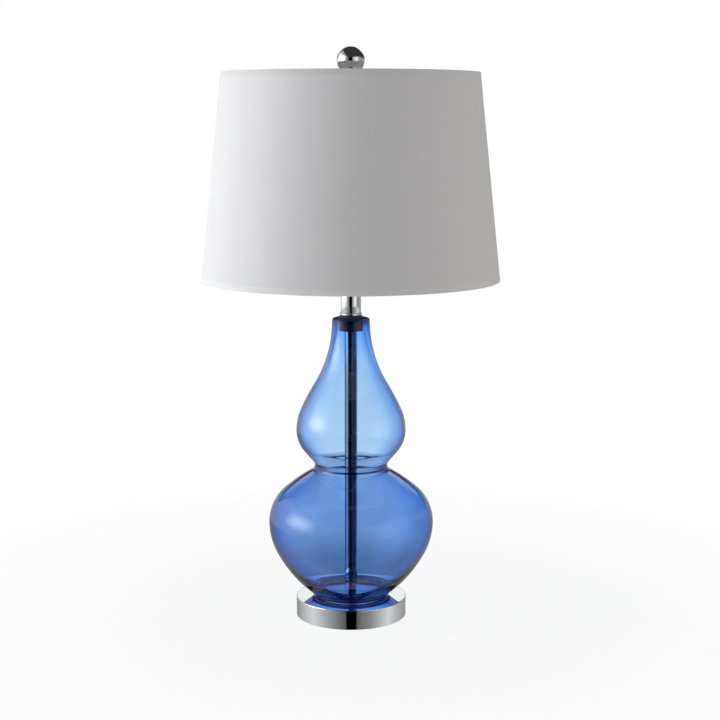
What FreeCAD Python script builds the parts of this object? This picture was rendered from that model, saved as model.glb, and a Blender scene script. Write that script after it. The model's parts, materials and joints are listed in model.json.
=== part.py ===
"""Double gourd table lamp: glass gourd on a round foot, drum column, harp, cone shade and ball finial.

Millimetres, +Z up. The origin is the centre of the face that the lamp stands on, the lamp's
axis is Z, the front is -Y and the cord leaves at the back, +Y.
"""
import FreeCAD, Part
import math
import os

# ---------------------------------------------------------------- overall
total_height = 650.0

# ---------------------------------------------------------------- clearances
loose_gap = 0.3        # a moving piece that passes a fixed one
fixed_gap = 0.2        # a fixed piece in its hole
shaft_gap = 0.1        # a shaft or sleeve that turns or slides
cut_spare = 1.0        # a cutting shape runs this far past the face that it opens
same_size = 0.01       # two sizes closer than this are taken as one

# ---------------------------------------------------------------- foot
base_radius = 63.4
base_height = 23.1
base_wall = 1.2
base_top_round = 1.0
base_lip_round = 0.5
base_lip_lift = 0.6    # the metal lip clears the table, which the felt touches
felt_thickness = 2.0
felt_margin = 1.5
weight_well_radius = 15.0
weight_well_roof = 8.0    # iron left above the well of the nut

# ---------------------------------------------------------------- cord outlet
cord_bore_radius = 3.2
cord_height = 11.5
bushing_wall = 1.3
bushing_flange_radius = 6.4
bushing_flange_thickness = 1.8
bushing_depth = 9.0
channel_side_gap = 1.0

# ---------------------------------------------------------------- threaded pipe and its nut
pipe_radius = 4.85
pipe_bore_radius = 3.3
pipe_below_nut = 2.0
nut_across_flats = 17.0
nut_thickness = 5.0
lock_washer_radius = 8.4
lock_washer_thickness = 1.4
lock_washer_split = 1.2
flat_washer_radius = 13.0
flat_washer_thickness = 1.6

# ---------------------------------------------------------------- glass gourd, outside
gasket_thickness = 0.5
glass_foot_radius = 40.0
lower_bulb_radius = 94.5
lower_bulb_height = 111.3
lower_under_radius = 73.3       # roundness just under the widest place
lower_under_angle = 27.8
lower_over_radius = 49.1        # roundness just over the widest place
lower_over_angle = 49.6
waist_radius = 41.6
waist_height = 177.6
waist_hollow = 7.6              # radius of the groove between the bulbs
upper_bulb_radius = 62.6
upper_bulb_height = 218.5
upper_under_radius = 36.6
upper_under_angle = 40.0
shoulder_radius = 58.4
shoulder_angle = 24.1
slope_radius = 260.0
slope_angle = 31.5
neck_radius = 21.6              # of the glass neck, at neck_mark
neck_mark = 340.0
neck_taper = 2.6
glass_top = 347.5
mouth_round = 1.8
foot_round = 2.0

# ---------------------------------------------------------------- glass gourd, wall
wall_neck = 7.6
wall_upper = 2.8
wall_waist = 2.8
wall_lower = 2.8
wall_foot = 5.2
ridge_drop = 1.2                # ridge inside the waist below the groove outside it
ridge_hollow = 4.2              # radius of that ridge
foot_lip = 5.0                  # height of the straight bore at the foot

# ---------------------------------------------------------------- column
tube_radius = 7.15
tube_wall = 1.0
plug_depth = 14.0               # how far the plug goes down in the mouth
plug_boss_radius = 12.4
plug_boss_height = 3.8
plug_flange_radius = 15.5
plug_flange_thickness = 1.5
plug_tube_recess = 4.0
neck_ring_radius = 12.5
neck_ring_height = 2.3
neck_ring_round = 0.8
neck_tube_radius = 11.6
neck_tube_wall = 1.0
neck_tube_length = 22.4
neck_washer_thickness = 1.2

# ---------------------------------------------------------------- harp
harp_wire_radius = 1.6
saddle_thickness = 1.5
saddle_width = 12.0
saddle_tip_width = 6.6
saddle_half_span = 29.0
saddle_bend = 7.0
saddle_tab_height = 12.8
saddle_peg_length = 8.0
saddle_peg_root = 4.0
sleeve_radius = 3.3
sleeve_length = 14.0
sleeve_travel = 12.0
harp_straight_spare = 4.0       # straight wire above the raised sleeve
harp_half_width = 57.0
harp_widest_drop = 97.4         # widest place of the harp below its crown
harp_crown_radius = 30.0
disc_radius = 9.0
disc_thickness = 4.4
stud_radius = 3.15
stud_tip = 1.0                  # bevel at the end of the stud
stud_end_gap = 1.0              # end of the stud below the seat of the ball

# ---------------------------------------------------------------- shade
shade_top_radius = 143.7
shade_bottom_radius = 168.0
shade_bottom_height = 391.0
shade_height = 230.4
cover_thickness = 0.8
liner_thickness = 0.5
liner_setback = 1.0             # the cover stands past the liner at both edges
ring_wire_radius = 1.6
ring_edge_inset = 2.4           # ring centre from the edge of the shade
washer_radius = 14.0
washer_thickness = 1.6
arm_wire_radius = 1.6
arm_count = 3
arm_first_angle = 90.0
arm_rise_length = 22.0          # the outer stretch that climbs to the ring
arm_knee_length = 5.5           # straight wire taken up by the knee, each side of it

# ---------------------------------------------------------------- finial
ball_radius = 15.5
finial_spigot_radius = 5.0
finial_spigot_length = 6.0
finial_base_radius = 6.5
finial_base_foot_radius = 8.0
finial_base_foot_height = 2.0
finial_base_height = 10.0
finial_seat_rise = 1.0          # flat seat of the ball above its lowest point

# ---------------------------------------------------------------- lamp holder
cap_boss_radius = 7.5
cap_boss_height = 7.0
cap_wall = 0.8
cap_bowl_height = 9.0
cap_rim_height = 6.0
holder_radius = 16.7
holder_wall = 0.6
holder_length = 46.0
holder_bead = 0.8
holder_overlap = 4.0            # shell inside the rim of the cap
liner_wall = 0.6
insulator_radius = 15.2
insulator_length = 21.0
insulator_lift = 2.5            # from the foot of the shell
screw_shell_wall = 0.4
screw_shell_bore = 13.45
screw_shell_height = 20.0
screw_shell_hole = 6.5
centre_contact_radius = 4.0
centre_contact_thickness = 1.5
terminal_head_radius = 3.2
terminal_head_thickness = 1.8
terminal_shank_radius = 1.5
terminal_shank_length = 5.0
terminal_flat = 12.3
terminal_pocket_width = 8.0
set_screw_radius = 1.6
set_screw_proud = 2.2

# ---------------------------------------------------------------- switch
shaft_radius = 1.9
shaft_inner_end = 5.0
knob_radius = 6.8
knob_tip_radius = 5.6
knob_length = 13.0
knob_stand_off = 4.5            # knob from the shell of the holder
knob_wall = 2.2                 # knob left beyond the end of the shaft
knob_grooves = 16
knob_groove_radius = 0.7

# ---------------------------------------------------------------- bulb
bulb_length = 109.5
bulb_contact_radius = 4.4
bulb_contact_height = 2.0
bulb_insulator_height = 4.5
bulb_insulator_radius = 10.0
bulb_cap_radius = 13.1
bulb_cap_height = 21.0
bulb_cap_wall = 0.5
bulb_globe_radius = 30.0
bulb_globe_wall = 1.2
bulb_collar_radius = 14.2
bulb_collar_top_radius = 27.0

# ---------------------------------------------------------------- heights that follow
base_underside = base_height - base_wall
glass_bottom = base_height + gasket_thickness
plug_bottom = glass_top - plug_depth
plug_top = glass_top + plug_boss_height
tube_top = plug_bottom + plug_tube_recess
neck_tube_bottom = plug_top + neck_ring_height
neck_tube_top = neck_tube_bottom + neck_tube_length
saddle_bottom = neck_tube_top + neck_washer_thickness
saddle_top = saddle_bottom + saddle_thickness
saddle_tab_top = saddle_bottom + saddle_tab_height
harp_bottom = saddle_tab_top + saddle_peg_length
sleeve_bottom = saddle_tab_top
harp_straight_top = sleeve_bottom + sleeve_length + sleeve_travel + harp_straight_spare
ball_centre = total_height - ball_radius
ball_bottom = ball_centre - ball_radius
finial_base_top = ball_bottom + finial_seat_rise
finial_bottom = finial_base_top - finial_base_height
washer_top = finial_bottom - loose_gap
washer_bottom = washer_top - washer_thickness
disc_bottom = washer_bottom - disc_thickness
harp_crown_height = washer_bottom - disc_thickness / 2
harp_widest_height = harp_crown_height - harp_widest_drop
stud_top = finial_base_top - stud_end_gap
shade_top_height = shade_bottom_height + shade_height
top_ring_height = shade_top_height - ring_edge_inset
bottom_ring_height = shade_bottom_height + ring_edge_inset
cap_bowl_top = saddle_top + cap_boss_height + cap_bowl_height
cap_top = cap_bowl_top + cap_rim_height
holder_bottom = cap_top - holder_overlap
holder_top = holder_bottom + holder_length
insulator_bottom = holder_bottom + insulator_lift
insulator_top = insulator_bottom + insulator_length
switch_height = insulator_bottom + insulator_length / 2
pipe_top = saddle_top + cap_boss_height
weight_well_top = base_underside - weight_well_roof
nut_top = weight_well_top - flat_washer_thickness - lock_washer_thickness
pipe_bottom = nut_top - nut_thickness - pipe_below_nut
bulb_bottom = insulator_top + centre_contact_thickness
bulb_cap_bottom = bulb_bottom + bulb_contact_height + bulb_insulator_height
bulb_collar_bottom = bulb_cap_bottom + bulb_cap_height
bulb_top = bulb_bottom + bulb_length
globe_centre = bulb_top - bulb_globe_radius
bulb_collar_top = globe_centre - math.sqrt(bulb_globe_radius ** 2 - bulb_collar_top_radius ** 2)
liner_outer_radius = holder_radius - holder_wall - fixed_gap
knob_start = holder_radius + knob_stand_off

UP = FreeCAD.Vector(0, 0, 1)
CENTRE = FreeCAD.Vector(0, 0, 0)
BACK = FreeCAD.Vector(0, 1, 0)
FRONT = FreeCAD.Vector(0, -1, 0)


# ---------------------------------------------------------------- drawing helpers
def at(x, z):
    """Point of the XZ plane, where X is the distance from the lamp's axis."""
    return FreeCAD.Vector(x, 0, z)


def toward(centre, radius, degrees):
    """Point at a distance and direction from a centre in the XZ plane."""
    turn = math.radians(degrees)
    return centre + at(radius * math.cos(turn), radius * math.sin(turn))


def direction(start, end):
    """Direction from one point of the XZ plane to another, in degrees."""
    return math.degrees(math.atan2(end.z - start.z, end.x - start.x))


def line(start, end):
    return Part.LineSegment(start, end).toShape()


def arc(centre, radius, first, last):
    """Arc about a centre in the XZ plane, from one direction to another."""
    ends = [toward(centre, radius, turn) for turn in (first, (first + last) / 2, last)]
    return Part.Arc(*ends).toShape()


def polyline(points):
    return [line(start, end) for start, end in zip(points, points[1:])]


def turned(edges):
    """Solid of revolution about the lamp's axis from a closed half section."""
    wire = Part.Wire(Part.__sortEdges__(edges))
    return Part.Face(wire).revolve(CENTRE, UP, 360)


def turned_points(points):
    corners = [at(x, z) for x, z in points]
    return turned(polyline(corners + corners[:1]))


def rod(radius, bottom, top):
    return Part.makeCylinder(radius, top - bottom, at(0, bottom), UP)


def pipe(outer, inner, bottom, top):
    """Tube or washer about the lamp's axis."""
    return rod(outer, bottom, top).cut(rod(inner, bottom - cut_spare, top + cut_spare))


def cross_rod(radius, start, length, height, way):
    """Rod that lies along Y, from a distance off the axis, towards the front or the back."""
    origin = way * start + UP * height
    return Part.makeCylinder(radius, length, origin, way)


def round_edges(shape, radius, wanted):
    """Round the circular edges that a test of radius and height picks."""
    rims = [edge for edge in shape.Edges
            if isinstance(edge.Curve, Part.Circle) and wanted(edge.Curve.Radius, edge.Curve.Center.z)]
    return shape.makeFillet(radius, rims)


def close_to(value, target):
    return abs(value - target) < same_size


def on_both_sides(shape):
    """The shape and its mirror image across the YZ plane, as one group."""
    return Part.makeCompound([shape, shape.mirror(CENTRE, FreeCAD.Vector(1, 0, 0))])


# ---------------------------------------------------------------- foot
def felt_pad():
    return rod(base_radius - base_wall - felt_margin, 0, felt_thickness)


def base_shell():
    outer = rod(base_radius, base_lip_lift, base_height)
    outer = round_edges(outer, base_top_round, lambda r, z: close_to(z, base_height))
    outer = round_edges(outer, base_lip_round, lambda r, z: close_to(z, base_lip_lift))
    inner = rod(base_radius - base_wall, 0, base_underside)
    shell = outer.cut(inner).cut(rod(pipe_radius + fixed_gap, 0, base_height + cut_spare))
    gland_radius = cord_bore_radius + bushing_wall + fixed_gap
    return shell.cut(cross_rod(gland_radius, base_radius - bushing_depth, 2 * bushing_depth,
                               cord_height, BACK))


def base_weight():
    radius = base_radius - base_wall - fixed_gap
    disc = rod(radius, felt_thickness, base_underside)
    well = rod(weight_well_radius, 0, weight_well_top)
    half = cord_bore_radius + bushing_wall + channel_side_gap
    channel = Part.makeBox(2 * half, base_radius, cord_height + half, FreeCAD.Vector(-half, 0, 0))
    return disc.cut(well).cut(channel).cut(rod(pipe_radius + fixed_gap, 0, base_height))


def cord_bushing():
    """Sleeve with an outer flange that lines the hole in the back of the foot."""
    barrel = cross_rod(cord_bore_radius + bushing_wall, base_radius - bushing_depth,
                       bushing_depth + bushing_flange_thickness, cord_height, BACK)
    flange = cross_rod(bushing_flange_radius, base_radius - bushing_flange_thickness,
                       2 * bushing_flange_thickness, cord_height, BACK)
    flange = flange.cut(rod(base_radius + fixed_gap, 0, base_height))
    bore = cross_rod(cord_bore_radius, base_radius - 2 * bushing_depth, 4 * bushing_depth,
                     cord_height, BACK)
    return barrel.fuse(flange).cut(bore).removeSplitter()


def hexagon_nut(bottom, top, across_flats, bore):
    corner = across_flats / 2 / math.cos(math.radians(30))
    corners = [FreeCAD.Vector(corner * math.cos(turn), corner * math.sin(turn), bottom)
               for turn in (math.radians(60 * side) for side in range(7))]
    block = Part.Face(Part.makePolygon(corners)).extrude(UP * (top - bottom))
    return block.cut(rod(bore, bottom - cut_spare, top + cut_spare))


def base_nut():
    return hexagon_nut(nut_top - nut_thickness, nut_top, nut_across_flats, pipe_radius)


def base_lock_washer():
    top = nut_top + lock_washer_thickness
    ring = pipe(lock_washer_radius, pipe_radius + fixed_gap, nut_top, top)
    split = Part.makeBox(lock_washer_radius + cut_spare, lock_washer_split, lock_washer_thickness,
                         FreeCAD.Vector(0, -lock_washer_split / 2, nut_top))
    return ring.cut(split)


def base_washer():
    bottom = weight_well_top - flat_washer_thickness
    return pipe(flat_washer_radius, pipe_radius + fixed_gap, bottom, weight_well_top)


# ---------------------------------------------------------------- glass gourd
def bulb_side(widest, height, belly, angle, hollow, way):
    """Arcs from a bulb's widest place to the groove at the waist; way is 1 up and -1 down.

    The belly arc turns by angle, and the next arc, whose radius is worked out here, runs on
    smoothly into the groove, a circle about hollow. It bends the other way, with a radius below
    zero, where the groove lies under the line that leaves the belly.
    """
    belly_centre = at(widest - belly, height)
    joint = toward(belly_centre, belly, way * angle)
    normal = (joint - belly_centre).normalize()
    groove_centre, groove_radius = hollow
    off = joint - groove_centre
    flank = (off.dot(off) - groove_radius ** 2) / (2 * (off.dot(normal) + groove_radius))
    flank_centre = joint - normal * flank
    reach = (groove_centre - flank_centre) * math.copysign(1, flank)
    end_angle = direction(CENTRE, reach)
    groove_start = 180 + end_angle
    if groove_start > 270:
        groove_start -= 360
    return [arc(belly_centre, belly, 0, way * angle),
            arc(flank_centre, flank, way * angle, end_angle),
            arc(groove_centre, groove_radius, groove_start, 180)]


def gourd_side(hollow, foot, neck_in, upper_in, lower_in):
    """One face of the glass from mouth to foot, set in from the outside by the given walls.

    hollow is the centre and radius of the groove at the waist, and foot the lowest point.
    """
    # neck and shoulder
    shoulder = shoulder_radius - upper_in
    slope = slope_radius - upper_in
    shoulder_centre = at(upper_bulb_radius - upper_in - shoulder, upper_bulb_height)
    shoulder_end = toward(shoulder_centre, shoulder, shoulder_angle)
    slope_centre = toward(shoulder_end, -slope, shoulder_angle)
    slope_end = toward(slope_centre, slope, slope_angle)
    neck_point = at(neck_radius - neck_in, neck_mark)
    neck_normal = toward(CENTRE, 1, neck_taper)
    slope_normal = toward(CENTRE, 1, slope_angle)
    throat = (slope_end - neck_point).dot(neck_normal) / (1 - slope_normal.dot(neck_normal))
    throat_centre = slope_end + slope_normal * throat
    rim_angle = math.degrees(math.asin((throat_centre.z - glass_top) / throat))
    throat_last = max(rim_angle, neck_taper)
    neck_end = toward(throat_centre, -throat, throat_last)
    mouth = neck_end.x - (glass_top - neck_end.z) * math.tan(math.radians(neck_taper))
    # underside of the lower bulb
    under = lower_under_radius - lower_in
    under_centre = at(lower_bulb_radius - lower_in - under, lower_bulb_height)
    under_end = toward(under_centre, under, -lower_under_angle)
    normal = (under_end - under_centre).normalize()
    reach = foot - under_end
    bowl = -reach.dot(reach) / (2 * reach.dot(normal))
    bowl_centre = under_end - normal * bowl
    sides = [arc(throat_centre, throat, 180 + throat_last, 180 + slope_angle),
             arc(slope_centre, slope, shoulder_angle, slope_angle),
             arc(shoulder_centre, shoulder, 0, shoulder_angle)]
    sides += bulb_side(upper_bulb_radius - upper_in, upper_bulb_height,
                       upper_under_radius - upper_in, upper_under_angle, hollow, -1)
    sides += bulb_side(lower_bulb_radius - lower_in, lower_bulb_height,
                       lower_over_radius - lower_in, lower_over_angle, hollow, 1)
    sides += [arc(under_centre, under, 0, -lower_under_angle),
              arc(bowl_centre, bowl, -lower_under_angle, direction(bowl_centre, foot))]
    if rim_angle < neck_taper:
        sides.append(line(at(mouth, glass_top), neck_end))
    return sides, at(mouth, glass_top)


def gourd_outside():
    hollow = at(waist_radius + waist_hollow, waist_height), waist_hollow
    return gourd_side(hollow, at(glass_foot_radius, glass_bottom), 0, 0, 0)


def gourd_inside():
    ridge = at(waist_radius - wall_waist + ridge_hollow, waist_height - ridge_drop), ridge_hollow
    foot = at(glass_foot_radius - wall_foot, glass_bottom + foot_lip)
    return gourd_side(ridge, foot, wall_neck, wall_upper, wall_lower)


def gourd_glass():
    outside, outer_mouth = gourd_outside()
    inside, inner_mouth = gourd_inside()
    outer_foot = at(glass_foot_radius, glass_bottom)
    inner_foot = at(glass_foot_radius - wall_foot, glass_bottom)
    rims = [line(outer_mouth, inner_mouth), line(outer_foot, inner_foot),
            line(inner_foot, inner_foot + UP * foot_lip)]
    glass = turned(outside + inside + rims)
    glass = round_edges(glass, mouth_round, lambda r, z: close_to(z, glass_top))
    return round_edges(glass, foot_round, lambda r, z: close_to(z, glass_bottom))


def mouth_bore():
    """Radius of the glass mouth, where the plug fits."""
    inside, inner_mouth = gourd_inside()
    return inner_mouth.x


def foot_gasket():
    inner = glass_foot_radius - wall_foot
    return pipe(glass_foot_radius - foot_round / 2, inner + foot_round / 2, base_height, glass_bottom)


# ---------------------------------------------------------------- column
def centre_tube():
    return pipe(tube_radius, tube_radius - tube_wall, base_height, tube_top)


def mouth_plug():
    """Rubber plug that centres the pipe in the glass and spreads the load on its rim."""
    barrel = mouth_bore() - loose_gap
    plug = turned_points([(pipe_radius + fixed_gap, plug_bottom),
                          (barrel, plug_bottom),
                          (barrel, glass_top),
                          (plug_flange_radius, glass_top),
                          (plug_flange_radius, glass_top + plug_flange_thickness),
                          (plug_boss_radius, glass_top + plug_flange_thickness),
                          (plug_boss_radius, plug_top),
                          (pipe_radius + fixed_gap, plug_top)])
    return plug.cut(rod(tube_radius, plug_bottom - cut_spare, tube_top))


def threaded_pipe():
    return pipe(pipe_radius, pipe_bore_radius, pipe_bottom, pipe_top)


def neck_ring():
    ring = pipe(neck_ring_radius, pipe_radius + fixed_gap, plug_top, neck_tube_bottom)
    return round_edges(ring, neck_ring_round,
                       lambda r, z: close_to(r, neck_ring_radius) and close_to(z, neck_tube_bottom))


def neck_tube():
    return pipe(neck_tube_radius, neck_tube_radius - neck_tube_wall, neck_tube_bottom, neck_tube_top)


def neck_washer():
    return pipe(neck_tube_radius, pipe_radius + fixed_gap, neck_tube_top, saddle_bottom)


# ---------------------------------------------------------------- harp
def harp_saddle():
    """Bent strip under the lamp holder, with a peg for each leg of the harp."""
    half = saddle_thickness / 2
    outer = saddle_half_span + half
    inner = saddle_half_span - half
    bend = saddle_bend
    profile = [line(at(0, saddle_bottom), at(outer - bend, saddle_bottom)),
               arc(at(outer - bend, saddle_bottom + bend), bend, 270, 360),
               line(at(outer, saddle_bottom + bend), at(outer, saddle_tab_top)),
               line(at(outer, saddle_tab_top), at(inner, saddle_tab_top)),
               line(at(inner, saddle_tab_top), at(inner, saddle_bottom + bend)),
               arc(at(outer - bend, saddle_bottom + bend), bend - saddle_thickness, 360, 270),
               line(at(outer - bend, saddle_top), at(0, saddle_top)),
               line(at(0, saddle_top), at(0, saddle_bottom))]
    strip = Part.Face(Part.Wire(Part.__sortEdges__(profile)))
    strip.translate(FreeCAD.Vector(0, -saddle_width / 2, 0))
    strip = strip.extrude(BACK * saddle_width)
    notch = (saddle_width - saddle_tip_width) / 2
    tip_start = saddle_bottom + bend
    for edge in (-saddle_width / 2, saddle_tip_width / 2):
        corner = FreeCAD.Vector(inner - cut_spare, edge, tip_start)
        strip = strip.cut(Part.makeBox(saddle_thickness + 2 * cut_spare, notch,
                                       saddle_tab_top - tip_start + cut_spare, corner))
    peg = Part.makeCylinder(harp_wire_radius, saddle_peg_length + saddle_peg_root,
                            at(saddle_half_span, saddle_tab_top - saddle_peg_root), UP)
    arm = strip.fuse(peg)
    both = arm.fuse(arm.mirror(CENTRE, FreeCAD.Vector(1, 0, 0))).removeSplitter()
    return both.cut(rod(pipe_radius + fixed_gap, saddle_bottom - cut_spare, saddle_top + cut_spare))


def harp_path():
    """Right half of the harp's centre line, from its foot to the disc at the top.

    Straight wire at the foot, two equal arcs that swing out to the widest place, a long arc up
    the flank and a tighter one over the crown, each tangent to the next.
    """
    widest = harp_widest_height
    half_out = (harp_half_width - saddle_half_span) / 2
    half_up = (widest - harp_straight_top) / 2
    swing = (half_out ** 2 + half_up ** 2) / (2 * half_out)
    flare = math.degrees(2 * math.atan2(half_out, half_up))
    crown = at(disc_radius, harp_crown_height - harp_crown_radius)
    across = harp_half_width - crown.x
    up = crown.z - widest
    flank = (across ** 2 + up ** 2 - harp_crown_radius ** 2) / (2 * (across - harp_crown_radius))
    flank_centre = at(harp_half_width - flank, widest)
    meet = direction(flank_centre, crown)
    return [line(at(saddle_half_span, harp_bottom), at(saddle_half_span, harp_straight_top)),
            arc(at(saddle_half_span + swing, harp_straight_top), swing, 180, 180 - flare),
            arc(at(harp_half_width - swing, widest), swing, -flare, 0),
            arc(flank_centre, flank, 0, meet),
            arc(crown, harp_crown_radius, meet, 90)]


def harp_wire():
    """The two bent legs, whose upper ends meet the rim of the disc."""
    path = harp_path()
    inward = line(at(disc_radius, harp_crown_height), at(disc_radius / 2, harp_crown_height))
    spine = Part.Wire(path + [inward])
    section = Part.Wire(Part.makeCircle(harp_wire_radius, at(saddle_half_span, harp_bottom), UP))
    leg = spine.makePipeShell([section], True, False)
    hub = rod(disc_radius, disc_bottom - cut_spare, washer_bottom + cut_spare)
    return on_both_sides(leg.cut(hub))


def harp_disc():
    """Flat disc that the shade sits on, with the stud that takes the finial."""
    plate = rod(disc_radius, disc_bottom, washer_bottom)
    stud = turned_points([(0, washer_bottom), (stud_radius, washer_bottom),
                          (stud_radius, stud_top - stud_tip), (stud_radius - stud_tip, stud_top),
                          (0, stud_top)])
    return plate.fuse(stud).removeSplitter()


def sleeve(side):
    """Ferrule that slides on the wire and locks the harp to its saddle."""
    centre = at(side * saddle_half_span, sleeve_bottom)
    body = Part.makeCylinder(sleeve_radius, sleeve_length, centre, UP)
    return body.cut(Part.makeCylinder(harp_wire_radius + shaft_gap, sleeve_length, centre, UP))


# ---------------------------------------------------------------- lamp holder
def socket_cap():
    boss_top = saddle_top + cap_boss_height
    rim = holder_radius + fixed_gap + cap_wall
    bore = pipe_radius + fixed_gap
    cap = turned_points([(bore, saddle_top), (cap_boss_radius, saddle_top), (cap_boss_radius, boss_top),
                         (rim, cap_bowl_top), (rim, cap_top), (rim - cap_wall, cap_top),
                         (rim - cap_wall, cap_bowl_top + cap_wall / 2),
                         (cap_boss_radius - cap_wall, boss_top + cap_wall), (bore, boss_top)])
    hole = cross_rod(set_screw_radius + fixed_gap, pipe_radius, cap_boss_radius,
                     saddle_top + cap_boss_height / 2, BACK)
    return cap.cut(hole)


def socket_set_screw():
    length = cap_boss_radius + set_screw_proud - pipe_radius - fixed_gap
    return cross_rod(set_screw_radius, pipe_radius + fixed_gap, length,
                     saddle_top + cap_boss_height / 2, BACK)


def shaft_hole():
    return cross_rod(shaft_radius + shaft_gap, 0, holder_radius + cut_spare, switch_height, FRONT)


def socket_shell():
    """Metal shell with a rolled bead at its mouth."""
    shell = pipe(holder_radius, holder_radius - holder_wall, holder_bottom, holder_top)
    bead = pipe(holder_radius + holder_bead, holder_radius - holder_wall,
                holder_top - 2 * holder_bead, holder_top)
    return shell.fuse(bead).removeSplitter().cut(shaft_hole())


def socket_liner():
    sleeve_wall = pipe(liner_outer_radius, liner_outer_radius - liner_wall,
                       holder_bottom + liner_wall, holder_top - liner_wall)
    return sleeve_wall.cut(shaft_hole())


def socket_body():
    """Insulating block with flats for the terminal screws and a hole for the switch."""
    block = rod(insulator_radius, insulator_bottom, insulator_top)
    block = block.cut(cross_rod(shaft_radius + shaft_gap, shaft_inner_end, holder_radius,
                                switch_height, FRONT))
    pocket = Part.makeBox(insulator_radius, terminal_pocket_width, terminal_pocket_width,
                          FreeCAD.Vector(terminal_flat, -terminal_pocket_width / 2,
                                         switch_height - terminal_pocket_width / 2))
    shank = Part.makeCylinder(terminal_shank_radius, terminal_shank_length,
                              at(terminal_flat - terminal_shank_length, switch_height),
                              FreeCAD.Vector(1, 0, 0))
    cuts = on_both_sides(pocket.fuse(shank))
    return block.cut(cuts)


def terminal_screws():
    across = FreeCAD.Vector(1, 0, 0)
    head = Part.makeCylinder(terminal_head_radius, terminal_head_thickness,
                             at(terminal_flat, switch_height), across)
    shank = Part.makeCylinder(terminal_shank_radius, terminal_shank_length,
                              at(terminal_flat - terminal_shank_length, switch_height), across)
    return on_both_sides(head.fuse(shank).removeSplitter())


def screw_shell():
    cup = pipe(screw_shell_bore + screw_shell_wall, screw_shell_bore,
               insulator_top, insulator_top + screw_shell_height)
    floor = pipe(screw_shell_bore + screw_shell_wall, screw_shell_hole,
                 insulator_top, insulator_top + screw_shell_wall)
    return cup.fuse(floor).removeSplitter()


def centre_contact():
    return rod(centre_contact_radius, insulator_top, bulb_bottom)


# ---------------------------------------------------------------- switch
def switch_shaft():
    end = knob_start + knob_length - knob_wall
    return cross_rod(shaft_radius, shaft_inner_end, end - shaft_inner_end, switch_height, FRONT)


def switch_knob():
    """Tapered knob with finger grooves."""
    origin = FRONT * knob_start + UP * switch_height
    knob = Part.makeCone(knob_radius, knob_tip_radius, knob_length, origin, FRONT)
    for groove in range(knob_grooves):
        turn = 2 * math.pi * groove / knob_grooves
        place = FreeCAD.Vector(knob_radius * math.cos(turn), 0, knob_radius * math.sin(turn))
        knob = knob.cut(Part.makeCylinder(knob_groove_radius, knob_length, origin + place, FRONT))
    return knob.cut(switch_shaft())


# ---------------------------------------------------------------- bulb
def bulb_contact():
    return rod(bulb_contact_radius, bulb_bottom, bulb_bottom + bulb_contact_height)


def bulb_insulator():
    bottom = bulb_bottom + bulb_contact_height
    return turned_points([(0, bottom), (bulb_contact_radius, bottom),
                          (bulb_insulator_radius, bulb_cap_bottom), (0, bulb_cap_bottom)])


def bulb_screw_cap():
    corner = bulb_cap_radius - bulb_insulator_radius - bulb_cap_wall
    body = rod(bulb_cap_radius, bulb_cap_bottom, bulb_collar_bottom)
    body = round_edges(body, corner, lambda r, z: close_to(z, bulb_cap_bottom))
    return body.cut(rod(bulb_cap_radius - bulb_cap_wall, bulb_cap_bottom + corner, bulb_collar_bottom))


def bulb_housing():
    """Collar that widens from the screw cap to the globe."""
    return turned_points([(0, bulb_collar_bottom), (bulb_collar_radius, bulb_collar_bottom),
                          (bulb_collar_top_radius, bulb_collar_top), (0, bulb_collar_top)])


def bulb_globe():
    """Thin dome, a little more than half a ball, on the collar."""
    centre = at(0, globe_centre)
    low = bulb_collar_top - centre.z
    outer = bulb_globe_radius
    inner = outer - bulb_globe_wall
    outer_start = math.degrees(math.asin(low / outer))
    inner_start = math.degrees(math.asin(low / inner))
    edges = [arc(centre, outer, outer_start, 90),
             line(at(0, bulb_top), at(0, bulb_top - bulb_globe_wall)),
             arc(centre, inner, 90, inner_start),
             line(toward(centre, inner, inner_start), toward(centre, outer, outer_start))]
    return turned(edges)


# ---------------------------------------------------------------- shade
def shade_radius(height):
    """Outside radius of the cover at a height."""
    along = (height - shade_bottom_height) / shade_height
    return shade_bottom_radius + (shade_top_radius - shade_bottom_radius) * along


def cone_shell(bottom, top, outer_inset, thickness):
    """Conical wall between two heights, inset from the outside of the cover."""
    low = shade_radius(bottom) - outer_inset
    high = shade_radius(top) - outer_inset
    return turned_points([(low, bottom), (high, top), (high - thickness, top), (low - thickness, bottom)])


def shade_cover():
    return cone_shell(shade_bottom_height, shade_top_height, 0, cover_thickness)


def shade_liner():
    return cone_shell(shade_bottom_height + liner_setback, shade_top_height - liner_setback,
                      cover_thickness, liner_thickness)


def ring_radius(height):
    """Radius of a ring's centre line, so that the ring lies just inside the liner."""
    return shade_radius(height) - cover_thickness - liner_thickness - ring_wire_radius - fixed_gap


def wire_ring(height):
    return Part.makeTorus(ring_radius(height), ring_wire_radius, at(0, height), UP)


def top_ring():
    return wire_ring(top_ring_height)


def bottom_ring():
    return wire_ring(bottom_ring_height)


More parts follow.
